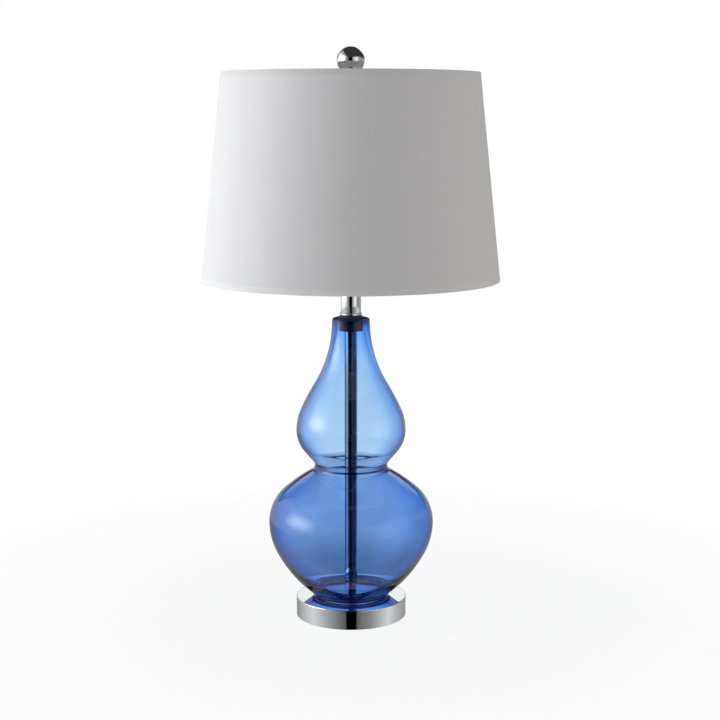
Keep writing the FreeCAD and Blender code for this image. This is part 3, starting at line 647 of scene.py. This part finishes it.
def bump(shader, height, distance, strength=1.0):
    """Relief of a height map whose full range is a distance in millimetres."""
    feed(shader.inputs["Normal"], add(height.tree, "ShaderNodeBump",
                                      {"Height": height, "Distance": distance * MM, "Strength": strength}))


def cover(shader, shade, dark, light, roughness, height, *relief):
    """Colour between two, and roughness between two where they are given, and relief."""
    feed(shader.inputs["Base Color"], mix(shade, dark, light))
    if roughness:
        vary(shader, "Roughness", shade, *roughness)
    bump(shader, height, *relief)


def metal(name, dark, light, smooth, rough, scale, relief=0.01):
    """Bare or plated metal with a soft haze in its polish."""
    finish, tree, shader = new_finish(name, Metallic=1.0)
    haze = use_group(tree, HAZE, Scale=scale)
    cover(shader, haze["Haze"], dark, light, (smooth, rough), haze["Height"], relief)
    return finish


def moulded(name, dark, light, smooth, rough, scale=900.0, relief=0.02, **values):
    """Plastic, rubber or cast iron with a fine grain."""
    finish, tree, shader = new_finish(name, **values)
    grain = use_group(tree, GRAIN, Scale=scale)
    cover(shader, grain["Patches"], dark, light, (smooth, rough), grain["Grain"], relief)
    return finish


def blue_glass():
    """Blue glass: deeper in the lower bulb, with painted shade where the eye grazes it, round the mouth and
    in bands at the waist and foot.
    """
    finish, tree, shader = new_finish("blue_glass", Roughness=0.0, IOR=1.5, Transmission_Weight=1.0)
    spot = place_on(tree)
    height = split(spot)[2]
    radius = length_of(add(tree, "ShaderNodeVectorMath", {0: spot, 1: (1, 1, 0)}, operation="MULTIPLY"))

    def step(value, low, high):
        return window(value, low * MM, high * MM)

    body = mix(step(height, *WAIST_STEP), LOWER_TINT, CLEAR)
    body = mix(step(height, *FOOT_STEP), CLEAR, body)
    # Painted shade round the mouth.
    body = mix(step(height, *MOUTH_STEP), body, PAINTED_MOUTH_SHADE)
    ground = 0.0
    # Painted shade in bands at the waist and foot; the foot's bands are also matt.
    for start, full, last, end, edge in PAINTED_SHADE_BANDS:
        painted_band = step(height, start, full) * (1.0 - step(height, last, end))
        painted_band = painted_band * (1.0 - step(radius, edge - BAND_FADE, edge))
        body = mix(painted_band, body, PAINTED_BAND_SHADE)
        if end < GROUND_TOP:
            ground = calculate("MAXIMUM", ground, painted_band)
    vary(shader, "Roughness", ground, 0.0, 0.5)
    # Painted shade where the eye grazes the glass.
    glance = add(tree, "ShaderNodeLayerWeight", {"Blend": 0.5}, "Facing")
    feed(shader.inputs["Base Color"], mix(1.0, body, ramp(glance, PAINTED_EDGE_SHADE, 0, 1), blend="MULTIPLY"))
    bump(shader, noise_at(spot, 9.0, 1.0), 0.12)
    clear = add(tree, "ShaderNodeBsdfTransparent", {"Color": SHADOW_TINT})
    shadow = add(tree, "ShaderNodeLightPath", output="Is Shadow Ray")
    both = add(tree, "ShaderNodeMixShader", {0: shadow, 1: Value(shader.outputs[0]), 2: clear})
    depth = add(tree, "ShaderNodeVolumeAbsorption", {"Color": GLASS_BLUE, "Density": GLASS_DEPTH})
    output = tree.nodes["Material Output"]
    feed(output.inputs["Surface"], both)
    feed(output.inputs["Volume"], depth)
    return finish


def shade_fabric():
    """White plain-weave cotton, with painted shade, a little warmer, where threads sink."""
    finish, tree, shader = new_finish("shade_fabric", Roughness=0.85, Sheen_Weight=0.08)
    place = use_group(tree, ROUND, Radius=SHADE_TOP_R * MM)
    weave = use_group(tree, WEAVE, Around=place["Around"], Height=place["Height"], Thread=THREAD * MM)
    cover(shader, weave["Shade"], linear(218, 217, 218), linear(236, 236, 238), (),
          weave["Relief"], 0.12, 0.6)
    return finish


def shade_backing():
    """Satin white film behind the fabric, with faint lengthwise streaks."""
    finish, tree, shader = new_finish("shade_backing", Roughness=0.45)
    film = streaks(use_group(tree, ROUND, Radius=SHADE_TOP_R * MM), 400.0, 12.0, 4.0)
    cover(shader, film, linear(214, 211, 205), linear(232, 230, 226), (0.38, 0.55), film, 0.03)
    return finish


def felt_cloth():
    """Pressed dark grey felt: matted fibres with a soft edge of light."""
    finish, tree, shader = new_finish("felt", Roughness=1.0, Sheen_Weight=0.4)
    fibres = noise_at(place_on(tree), 700.0, 6.0, Distortion=2.5)
    cover(shader, fibres, linear(30, 32, 34), linear(72, 76, 80), (), fibres, 0.5)
    return finish


def insulating_card():
    """Grey-brown pressed card with short fibres."""
    finish, tree, shader = new_finish("insulating_card", Roughness=0.8)
    fibres = streaks(use_group(tree, ROUND, Radius=0.016), 900.0, 250.0, 5.0)
    cover(shader, fibres, linear(96, 84, 66), linear(150, 136, 112), (), fibres, 0.06)
    return finish


# Each finish: dark and light colour, least and most roughness, scale of its grain and depth of it.
METALS = {
    "chrome": ((0.80, 0.81, 0.82, 1), (0.90, 0.905, 0.91, 1), 0.02, 0.045, 9.0, 0.0008),
    "nickel_wire": ((0.55, 0.53, 0.49, 1), (0.66, 0.64, 0.60, 1), 0.18, 0.32, 60.0),
    "nickel_shell": ((0.60, 0.58, 0.54, 1), (0.72, 0.70, 0.66, 1), 0.14, 0.28, 40.0),
    "zinc_steel": ((0.42, 0.43, 0.42, 1), (0.62, 0.63, 0.60, 1), 0.3, 0.5, 90.0, 0.02),
    "brass": ((0.55, 0.36, 0.13, 1), (0.72, 0.50, 0.20, 1), 0.2, 0.38, 80.0),
    "contact_aluminium": ((0.55, 0.56, 0.57, 1), (0.70, 0.71, 0.72, 1), 0.25, 0.4, 120.0, 0.02),
}
MOULDED = {
    "ring_wire": (linear(222, 221, 218), linear(240, 240, 238), 0.3, 0.42, 500.0, 0.015),
    "cast_iron": ((0.035, 0.034, 0.033, 1), (0.075, 0.07, 0.066, 1), 0.6, 0.85, 350.0, 0.35),
    "holder_plastic": (linear(28, 28, 30), linear(44, 43, 42), 0.35, 0.5),
    "black_plastic": (linear(18, 18, 20), linear(30, 30, 31), 0.3, 0.45),
    "white_plastic": (linear(228, 228, 226), linear(240, 240, 239), 0.35, 0.5),
    "black_rubber": ((0.018, 0.018, 0.028, 1), (0.045, 0.045, 0.065, 1), 0.5, 0.7, 500.0, 0.05),
}
FINISHES = {
    "blue_glass": blue_glass(), "shade_fabric": shade_fabric(), "shade_backing": shade_backing(),
    "insulating_card": insulating_card(), "felt": felt_cloth(),
    # The milky diffuser of the bulb, and the clear soft ring between the glass and the foot.
    "frosted_plastic": moulded("frosted_plastic", linear(236, 234, 228), linear(244, 243, 240), 0.32, 0.45,
                               1500.0, 0.01, Subsurface_Weight=0.3, Subsurface_Radius=(0.004,) * 3),
    "clear_rubber": moulded("clear_rubber", (0.75, 0.8, 0.85, 1), (0.9, 0.93, 0.95, 1), 0.2, 0.2, 600.0,
                            IOR=1.45, Transmission_Weight=0.9),
    **{name: metal(name, *values) for name, values in METALS.items()},
    **{name: moulded(name, *values) for name, values in MOULDED.items()},
}


def dress_frame():
    """Give every CAD node the finish of its slot."""
    for name, node in frame["nodes"].items():
        for holder in node.material_slots:
            holder.material = FINISHES[SLOTS[name]]


# ---------------- glass
def bulb_side(widest, height, belly, angle, groove, way):
    """Points from a bulb's widest place to the groove at the waist; way is 1 up and -1 down."""
    belly_centre = Vector((widest - belly, height))
    normal = heading(way * angle)
    joint = belly_centre + normal * belly
    groove_centre, groove_radius = groove
    off = joint - groove_centre
    flank = (off.dot(off) - groove_radius ** 2) / (2 * (off.dot(normal) + groove_radius))
    flank_centre = joint - normal * flank
    reach = (groove_centre - flank_centre) * math.copysign(1, flank)
    end_angle = math.degrees(math.atan2(reach.y, reach.x))
    start = 180 + end_angle
    if start > 270:
        start -= 360
    return (sweep(belly_centre, belly, 0, way * angle, 3)[:-1]
            + sweep(flank_centre, flank, way * angle, end_angle, 2)[:-1]
            + sweep(groove_centre, groove_radius, start, 180, 6))


def gourd_side(waist, neck_in, upper_in, lower_in, foot_in, bottom, top):
    """One face of the glass from foot to mouth, set in from the outside by the given walls."""
    shoulder = SHOULDER - upper_in
    slope = SLOPE - upper_in
    shoulder_normal, slope_normal = heading(SHOULDER_ANGLE), heading(SLOPE_ANGLE)
    shoulder_centre = Vector((UPPER_R - upper_in - shoulder, UPPER_Z))
    slope_centre = shoulder_centre + shoulder_normal * shoulder - shoulder_normal * slope
    slope_end = slope_centre + slope_normal * slope
    neck_normal = heading(NECK_TAPER)
    neck_point = Vector((NECK_R - neck_in, NECK_Z))
    throat = (slope_end - neck_point).dot(neck_normal) / (1 - slope_normal.dot(neck_normal))
    throat_centre = slope_end + slope_normal * throat
    rim_angle = math.degrees(math.asin((throat_centre.y - top) / throat))
    throat_last = max(rim_angle, NECK_TAPER)
    groove = (Vector((waist[0] + waist[2], waist[1])), waist[2])
    under = LOWER_UNDER - lower_in
    under_normal = heading(-LOWER_UNDER_ANGLE)
    under_centre = Vector((LOWER_R - lower_in - under, LOWER_Z))
    foot = Vector((FOOT_R - foot_in, bottom))
    reach = foot - (under_centre + under_normal * under)
    bowl = -reach.dot(reach) / (2 * reach.dot(under_normal))
    bowl_centre = under_centre + under_normal * (under - bowl)
    foot_angle = math.degrees(math.atan2(foot.y - bowl_centre.y, foot.x - bowl_centre.x))
    points = sweep(bowl_centre, bowl, foot_angle, -LOWER_UNDER_ANGLE, 2)[:-1]
    points += sweep(under_centre, under, -LOWER_UNDER_ANGLE, 0, 2)[:-1]
    points += bulb_side(LOWER_R - lower_in, LOWER_Z, LOWER_OVER - lower_in, LOWER_OVER_ANGLE, groove, 1)[:-1]
    points += bulb_side(UPPER_R - upper_in, UPPER_Z, UPPER_UNDER - upper_in, UPPER_UNDER_ANGLE,
                        groove, -1)[::-1][:-1]
    points += sweep(shoulder_centre, shoulder, 0, SHOULDER_ANGLE, 2)[:-1]
    points += sweep(slope_centre, slope, SHOULDER_ANGLE, SLOPE_ANGLE, 1)[:-1]
    points += sweep(throat_centre, throat, 180 + SLOPE_ANGLE, 180 + throat_last, 1.5)
    if rim_angle < NECK_TAPER:
        end = Vector(points[-1])
        points.append((end.x - (top - end.y) * math.tan(math.radians(NECK_TAPER)), top))
    return points


def make_glass():
    """Blown gourd, open at both ends, with its mouth and foot rounded."""
    span = Span("gourd_glass")
    outside = gourd_side((WAIST_R, WAIST_Z, WAIST_HOLLOW), 0, 0, 0, 0, span.bottom, span.top)
    inside = gourd_side((RIDGE_R, RIDGE_Z, RIDGE_HOLLOW), *WALLS.values(), span.bottom + FOOT_LIP, span.top)
    foot = [(*inside[0], FOOT_ROUND), (inside[0][0], span.bottom, FOOT_ROUND), (*outside[0], FOOT_ROUND)]
    mouth = [(*outside[-1], MOUTH_ROUND), (*inside[-1], MOUTH_ROUND)]
    outline = rounded(foot + outside[1:-1] + mouth + inside[-2:0:-1], 8)
    fit_turned("gourd_glass", "blown", outline, segments=180)


# ---------------- foot and column
def make_foot():
    """Spun chrome shell with the cord's outlet at the back, and the felt under it."""
    shell = Span("base_shell")
    inside = shell.radius - BASE_WALL
    outline = rounded([(PIPE_HOLE, shell.top - BASE_WALL), (inside, shell.top - BASE_WALL, 0.3),
                       (inside, shell.bottom, 0.3), (shell.radius, shell.bottom, BASE_LIP_ROUND),
                       (shell.radius, shell.top, BASE_ROUND), (PIPE_HOLE, shell.top)], 8)
    spun = turned("base_shell_spun", outline, "chrome", segments=180)
    bushing = Span("cord_bushing")
    cutter = turned("bushing_hole", disc_outline(BUSHING_BARREL + 0.2, inside - 4, shell.radius + 4, 0.1),
                    "chrome", closed=False, segments=48)
    aim(cutter, "Y", (0, 0, bushing.middle))
    hole = spun.modifiers.new("cord outlet", "BOOLEAN")
    hole.object = cutter
    hole.solver = "EXACT"
    settle(spun)
    spun.data.set_sharp_from_angle(angle=SHARP)
    bpy.data.objects.remove(cutter)
    seat(spun, "lamp_body", "chrome", "base_shell")
    start, end, flange = bushing.front, bushing.back, bushing.radius
    outline = rounded([(BUSHING_BORE, start, 0.5), (BUSHING_BARREL, start, 0.4),
                       (BUSHING_BARREL, end - BUSHING_FLANGE), (flange, end - BUSHING_FLANGE, 0.3),
                       (flange, end, 0.8), (BUSHING_BORE, end, 0.9)], 6)
    fit_turned("cord_bushing", "moulded", outline, "Y", (0, 0, bushing.middle), segments=72)
    felt = Span("felt_pad")
    outline = disc_outline(felt.radius, felt.bottom, felt.top, 0.6)
    fit_turned("felt_pad", "cut", outline, closed=False, segments=144)


def make_column():
    """Bright tube inside the glass, the neck above it and the collar between them."""
    fit_tube("centre_tube", "polished", Span("centre_tube").radius - TUBE_WALL, segments=72)
    fit_tube("neck_tube", "polished", Span("neck_tube").radius - TUBE_WALL, 0.25)
    ring, plug, glass = Span("neck_ring"), Span("mouth_plug"), Span("gourd_glass")
    outline = rounded([(PIPE_HOLE, ring.bottom), (ring.radius, ring.bottom, 0.3),
                       (ring.radius, ring.top, NECK_RING_ROUND), (PIPE_HOLE, ring.top)], 6)
    fit_turned("neck_ring", "polished", outline)
    fit_tube("neck_washer", "polished", PIPE_HOLE, 0.4)
    barrel = NECK_R - WALLS["neck"] - 0.6
    outline = rounded([(PIPE_HOLE, plug.bottom, 0.4), (barrel, plug.bottom, 1.0), (barrel, glass.top, 0.3),
                       (plug.radius, glass.top, 0.4), (plug.radius, glass.top + PLUG_FLANGE, 0.7),
                       (PLUG_BOSS_R, glass.top + PLUG_FLANGE, 0.4), (PLUG_BOSS_R, plug.top, 0.4),
                       (PIPE_HOLE, plug.top)], 5)
    fit_turned("mouth_plug", "moulded", outline)


# ---------------- harp
def harp_side(disc, crown_height):
    """Centre line of one leg of the harp, from its straight foot to the middle of the disc."""
    widest = crown_height - HARP_WIDEST_DROP
    half_out = (HARP_HALF_WIDTH - HARP_SPAN) / 2
    half_up = (widest - HARP_STRAIGHT_TOP) / 2
    swing = (half_out ** 2 + half_up ** 2) / (2 * half_out)
    flare = math.degrees(2 * math.atan2(half_out, half_up))
    crown = (disc.radius, crown_height - HARP_CROWN)
    across, up = HARP_HALF_WIDTH - crown[0], crown[1] - widest
    flank = (across ** 2 + up ** 2 - HARP_CROWN ** 2) / (2 * (across - HARP_CROWN))
    flank_centre = (HARP_HALF_WIDTH - flank, widest)
    meet = math.degrees(math.atan2(crown[1] - flank_centre[1], crown[0] - flank_centre[0]))
    return ([(HARP_SPAN, Span("harp_wire").bottom)]
            + sweep((HARP_SPAN + swing, HARP_STRAIGHT_TOP), swing, 180, 180 - flare, 3)[:-1]
            + sweep((HARP_HALF_WIDTH - swing, widest), swing, -flare, 0, 3)[:-1]
            + sweep(flank_centre, flank, 0, meet, 2)[:-1] + sweep(crown, HARP_CROWN, meet, 90, 3)
            + [(disc.radius - 0.6, crown_height)])


def make_harp():
    """Two bent legs with a straight foot, a disc with a threaded stud, and the sliding sleeves."""
    disc = Span("harp_disc")
    plate_top = Span("spider_washer").bottom
    side = harp_side(disc, (disc.bottom + plate_top) / 2)
    fit_wire("harp_wire", [(x, 0, z) for x, z in side], copies=2)
    outline = rounded([(0, disc.bottom), (disc.radius, disc.bottom, 1.0), (disc.radius, plate_top, 0.6),
                       (STUD_R, plate_top, 0.2), (STUD_R, disc.top)], 5)
    outline = outline[:-1] + climb(STUD_R, plate_top + 0.3, disc.top - 0.8, 0.12)
    outline += [(STUD_R - 0.8, disc.top), (0, disc.top)]
    fit_turned("harp_disc", "turned", outline, closed=False, segments=60,
               relief=(STUD_R - 0.1, plate_top + 0.6, disc.top - 0.9), Thread_Pitch=STUD_PITCH * MM,
               Thread_Depth=STUD_DEPTH * MM, Sharp_Angle=CUT_SHARP)
    for name, way in (("sleeve_left", -1), ("sleeve_right", 1)):
        low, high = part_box(name)
        bottom, top = low.z / MM, high.z / MM
        lip = (high.x - low.x) / 2 / MM
        hole = WIRE_R + 0.1
        outline = rounded([(hole, bottom, 0.2), (lip, bottom, 0.5), (lip, bottom + SLEEVE_LIP, 0.4),
                           (SLEEVE_BODY, bottom + SLEEVE_LIP + 0.6, 0.4),
                           (SLEEVE_BODY, top - SLEEVE_LIP - 0.6, 0.4), (lip, top - SLEEVE_LIP, 0.4),
                           (lip, top, 0.5), (hole, top, 0.2)], 4)
        fit_turned(name, "drawn", outline, "Z", (way * HARP_SPAN, 0, 0), segments=48)


# ---------------- lamp holder, switch and bulb
def make_holder():
    """Spun cap, shell with rolled beads, and the fluted switch knob."""
    cap, shell = Span("socket_cap"), Span("socket_shell")
    boss_top = cap.bottom + CAP_BOSS_HEIGHT
    bowl_top = boss_top + CAP_BOWL_HEIGHT
    inner = cap.radius - CAP_WALL
    outline = rounded([(PIPE_HOLE, cap.bottom), (CAP_BOSS_R, cap.bottom, 0.8), (CAP_BOSS_R, boss_top, 1.5),
                       (cap.radius, bowl_top, 3.0), (cap.radius, cap.top, 0.3), (inner, cap.top, 0.3),
                       (inner, bowl_top + CAP_WALL / 2, 2.4), (CAP_BOSS_R - CAP_WALL, boss_top + CAP_WALL),
                       (PIPE_HOLE, boss_top + 0.2)], 6)
    fit_turned("socket_cap", "spun", outline)
    bead = shell.radius
    inner = SHELL_R - SHELL_WALL
    ring = shell.top - SHELL_RING_DROP
    outline = rounded([(inner, shell.bottom, 0.2), (SHELL_R, shell.bottom, 0.2), (SHELL_R, ring - 1.2, 0.8),
                       (SHELL_R + 0.5, ring, 0.7), (SHELL_R, ring + 1.2, 0.8),
                       (SHELL_R, shell.top - 2.0, 0.4), (bead, shell.top - 1.6, 0.6),
                       (bead, shell.top, 0.7), (inner, shell.top, 0.3)], 5)
    fit_turned("socket_shell", "rolled", outline)
    knob = Span("switch_knob")
    length = knob.back - knob.front
    outline = coned(knob.radius, KNOB_TIP_R, 0, length, 0.6, 1.1, (1.2, 2, 10, 10.8))
    fit_turned("switch_knob", "moulded", outline, "-Y", (0, knob.back, knob.middle), closed=False,
               segments=12 * KNOB_FLUTES, relief=(KNOB_TIP_R - 0.3, length / 7, length * 6 / 7),
               Flutes=KNOB_FLUTES, Flute_Depth=KNOB_FLUTE_DEPTH * MM, Sharp_Angle=CUT_SHARP)


def make_bulb():
    """Rolled screw cap, ribbed white collar and milky globe."""
    cap, collar, globe = Span("bulb_screw_cap"), Span("bulb_housing"), Span("bulb_globe")
    radius = cap.radius
    inner = radius - BULB_CAP_WALL - BULB_THREAD
    outline = rounded([(inner - 2, cap.bottom), (radius - 2.6, cap.bottom, 0.4),
                       (radius, cap.bottom + 2.6, 0.8), (radius, cap.top)], 4)
    outline = outline[:-1] + climb(radius, cap.bottom + 3.0, cap.top - 1.6, 0.4)
    outline += [(radius, cap.top), (inner, cap.top), (inner, cap.bottom + 3)]
    fit_turned("bulb_screw_cap", "rolled", outline, segments=84,
               relief=(radius - 0.2, cap.bottom + 3.2, cap.top - 2.4), Thread_Pitch=BULB_PITCH * MM,
               Thread_Depth=BULB_THREAD * MM, Sharp_Angle=CUT_SHARP)
    outline = coned(BULB_COLLAR_R, collar.radius, collar.bottom, collar.top, 0.4, 0.8,
                    (0.8, 1.4, 6, 10, 10.6))
    twelfth = (collar.top - collar.bottom) / 12
    ribbed = (BULB_COLLAR_R, collar.bottom + 1.4 * twelfth - 0.1, collar.bottom + 10 * twelfth + 0.1)
    fit_turned("bulb_housing", "ribbed", outline, closed=False, segments=8 * BULB_RIBS, relief=ribbed,
               Flutes=BULB_RIBS, Flute_Depth=RIB_DEPTH * MM, Sharp_Angle=CUT_SHARP)
    fit_turned("bulb_globe", "blown", ball_outline(globe), closed=False)


# ---------------- shade
def shade_radius(height, span):
    share = (height - span.bottom) / (span.top - span.bottom)
    return span.radius + (SHADE_TOP_R - span.radius) * share


def make_shade():
    """Cloth cone with a folded hem at each edge, and its lining."""
    span = Span("shade_cover")

    def face(height, inset):
        return (shade_radius(height, span) - inset, height)

    low_hem = span.bottom + HEM_HEIGHT
    high_hem = span.top - HEM_HEIGHT
    outline = rounded([
        (*face(span.bottom, COVER_WALL), 0.3), (*face(span.bottom, -HEM_PROUD), 0.4),
        (*face(low_hem, -HEM_PROUD), 0.25), face(low_hem + 0.4, 0), face(high_hem - 0.4, 0),
        (*face(high_hem, -HEM_PROUD), 0.25), (*face(span.top, -HEM_PROUD), 0.4),
        (*face(span.top, COVER_WALL), 0.3)], 4)
    fit_turned("shade_cover", "cloth", outline, segments=180)
    lining = Span("shade_liner")
    outline = [face(lining.bottom, COVER_WALL + LINER_WALL), face(lining.bottom, COVER_WALL),
               face(lining.top, COVER_WALL), face(lining.top, COVER_WALL + LINER_WALL)]
    fit_turned("shade_liner", "film", outline, segments=180)


def make_seam():
    """Lap of the cover, a folded strip that runs straight down the back."""
    span = Span("shade_cover")
    middle = math.radians(SEAM_AZIMUTH)
    points = []
    shares = [column / SEAM_COLUMNS * 2 - 1 for column in range(SEAM_COLUMNS + 1)]
    stand_out = [SEAM_PROUD * (1 - share ** 8) - 0.1 for share in shares] + [-SEAM_SUNK] * len(shares)
    for row in range(SEAM_ROWS + 1):
        height = span.bottom + 0.2 + (span.top - span.bottom - 0.4) * row / SEAM_ROWS
        radius = shade_radius(height, span)
        half = SEAM_WIDTH / 2 / radius
        for share, out in zip(shares * 2, stand_out):
            turn = middle + share * half
            points.append(((radius + out) * math.cos(turn), (radius + out) * math.sin(turn), height))
    wide = 2 * len(shares)
    ring = [*range(len(shares)), *range(wide - 1, SEAM_COLUMNS, -1)]
    faces = []
    for row in range(SEAM_ROWS):
        low, high = row * wide, (row + 1) * wide
        for here, there in zip(ring, ring[1:] + ring[:1]):
            faces.append((low + here, low + there, high + there, high + here))
    faces.append(tuple(reversed(ring)))
    faces.append(tuple(SEAM_ROWS * wide + spot for spot in ring))
    lap = new_piece("shade_cover_lap", points, faces)
    lap.data.materials.append(FINISHES["shade_fabric"])
    shell = bmesh.new()
    shell.from_mesh(lap.data)
    bmesh.ops.recalc_face_normals(shell, faces=shell.faces)
    shell.to_mesh(lap.data)
    shell.free()
    lap.data.shade_smooth()
    lap.data.set_sharp_from_angle(angle=SHARP)
    seat(lap, "shade", "shade_fabric")


def make_spider():
    """Wire rings at both edges, and the arms that carry the top one from the centre washer."""
    for node in ("top_ring", "bottom_ring"):
        ring = Span(node)
        reach, height = ring.radius - WIRE_R, ring.middle
        path = [(x, y, height) for x, y in sweep((0, 0), reach, 0, 358, 2)]
        fit_wire(node, path, closed=True, sides=14)
    washer, ring = Span("spider_washer"), Span("top_ring")
    flat, reach, height = washer.bottom + WIRE_R, ring.radius - WIRE_R, ring.middle
    slant = math.degrees(math.atan2(height - flat, ARM_RISE))
    bend = ARM_KNEE / math.tan(math.radians(slant / 2))
    knee = reach - ARM_RISE - ARM_KNEE
    side = [(washer.radius - 1.2, flat)] + sweep((knee, flat + bend), bend, -90, slant - 90, 2)
    side.append((reach, height))
    fit_wire("spider_arms", [(0, out, up) for out, up in side], copies=3)
    fit_tube("spider_washer", "pressed", WASHER_BORE, 0.5, segments=72)


# ---------------- finial
def make_finial():
    """Ball on a short turned stem with a spreading foot."""
    ball, base = Span("finial_ball"), Span("finial_base")
    fit_turned("finial_ball", "polished", ball_outline(ball), closed=False)
    foot_top = base.bottom + FINIAL_FOOT_HEIGHT
    hole, stem_top = STUD_R + 0.2, ball.bottom
    outline = rounded([(hole, base.bottom, 0.2), (base.radius, base.bottom, 0.5),
                       (base.radius, foot_top, 0.8), (FINIAL_STEM - 0.9, foot_top + 1.2, 0.8),
                       (FINIAL_STEM - 0.9, stem_top - 2.4, 0.6), (FINIAL_STEM, stem_top - 1.6, 0.4),
                       (FINIAL_STEM, stem_top, 0.2), (hole, stem_top)], 5)
    fit_turned("finial_base", "turned", outline, segments=72)


# ---------------- stage
def inside_glass(path):
    """1 on rays that have come through glass and been mirrored, such as by the column inside it."""
    return path["Is Transmission Ray"] * calculate("GREATER_THAN", path["Glossy Depth"], 0.5)


def make_floor():
    """Pale floor. It looks white to the eye, keeps a soft shadow, and through glass shows a painted shadow,
    darker near the lamp.
    """
    finish = bpy.data.materials.new("studio_floor")
    finish.use_nodes = True
    tree = finish.node_tree
    tree.nodes.clear()
    away = length_of(place_on(tree))
    path = outputs_of(add_node(tree, "ShaderNodeLightPath"))
    # Through glass the floor shows a painted shadow round the lamp.
    seen = mix(path["Is Camera Ray"], ramp(away, FLOOR_THROUGH_PAINTED_SHADOW, 0, 1), grey(1.0))
    glow = add(tree, "ShaderNodeEmission", {"Color": seen, "Strength": 1.0})
    matt = add(tree, "ShaderNodeBsdfDiffuse", {"Color": grey(0.85)})
    to_eye = path["Is Camera Ray"] * scaled(window(away, 0.1, 0.9), 0.1, 0.9)
    white = calculate("MAXIMUM", to_eye, path["Is Transmission Ray"])
    both = add(tree, "ShaderNodeMixShader", {0: white, 1: matt, 2: glow})
    gone = add(tree, "ShaderNodeBsdfTransparent")
    shown = add(tree, "ShaderNodeMixShader", {0: inside_glass(path), 1: both, 2: gone})
    feed(tree.nodes.new("ShaderNodeOutputMaterial").inputs["Surface"], shown)
    half = FLOOR_HALF / MM
    corners = [(-half, -half, 0), (half, -half, 0), (half, half, 0), (-half, half, 0)]
    floor = new_piece("studio_floor", corners, [(0, 1, 2, 3)])
    floor.data.materials.append(finish)
    floor.visible_glossy = False


def make_world():
    """Studio round the lamp: white to the eye and through glass, soft boxes and dark gaps in metal."""
    world = bpy.data.worlds.new("studio")
    world.use_nodes = True
    scene.world = world
    tree = world.node_tree
    path = outputs_of(add_node(tree, "ShaderNodeLightPath"))
    across, deep, lift = split(add(tree, "ShaderNodeTexCoord", output="Generated"))
    share = scaled(calculate("ARCTAN2", across, deep * -1), 1 / TURN, 0.5)
    room = mix(window(lift, -0.24, -0.16), ramp(share, FLOOR_SEEN), ramp(share, WALLS_SEEN), "FLOAT")
    room = room * scaled(window(lift, 0.48, 0.58), -0.55, 1.0)
    room = mix(window(lift - ramp(share, CEILING), -0.05, 0.06), room, CEILING_SEEN, "FLOAT")
    behind = window(calculate("ABSOLUTE", share - 0.5), 0.40, 0.44)
    room = mix(behind * (window(lift, 0.2, 0.27) - window(lift, 0.42, 0.5)), room, 1.0, "FLOAT")
    glow = ramp(share, KEY_GLOW) * GLOW * (window(lift, -0.12, 0.2) * (1.0 - window(lift, 0.26, 0.54)))
    inside = inside_glass(path)
    dim = scaled(window(lift, -0.05, 0.15), 0.6, 0.4)
    within = mix(1.0, ramp(share, INSIDE_SEEN), dim, blend="MULTIPLY")
    mirrored = mix(inside, room + glow, within)
    clear = path["Is Transmission Ray"] - inside
    open_view = calculate("MAXIMUM", path["Is Camera Ray"], clear)
    seen = mix(open_view, mirrored, scaled(clear, 0.06, 1.0))
    is_seen = calculate("MAXIMUM", open_view, path["Is Glossy Ray"])
    feed(tree.nodes["Background"].inputs["Color"], mix(is_seen, grey(AMBIENT), seen))


def make_light(name, place, aim_height, size, power, colour):
    """Square soft box that faces a point on the lamp's axis."""
    lamp = bpy.data.lights.new(name, "AREA")
    lamp.shape = "RECTANGLE"
    lamp.size = lamp.size_y = size
    lamp.energy = power
    lamp.color = colour
    holder = bpy.data.objects.new(name, lamp)
    holder.location = place
    holder.rotation_euler = (Vector((0, 0, aim_height)) - Vector(place)).to_track_quat("-Z", "Y").to_euler()
    holder.visible_glossy = False
    holder.visible_transmission = False
    scene.collection.objects.link(holder)


def make_camera():
    lens = bpy.data.cameras.new("camera")
    lens.lens = CAMERA_LENS
    lens.sensor_width = 36.0
    camera = bpy.data.objects.new("camera", lens)
    camera.location = CAMERA_PLACE
    camera.rotation_euler = (math.radians(90 - CAMERA_DIP), 0, 0)
    scene.collection.objects.link(camera)
    scene.camera = camera


make_camera()
scene.view_settings.view_transform = "Standard"
make_world()
make_floor()
for light in LIGHTS:
    make_light(*light)

dress_frame()
make_glass()
make_foot()
make_column()
make_harp()
make_holder()
make_bulb()
make_shade()
make_seam()
make_spider()
make_finial()
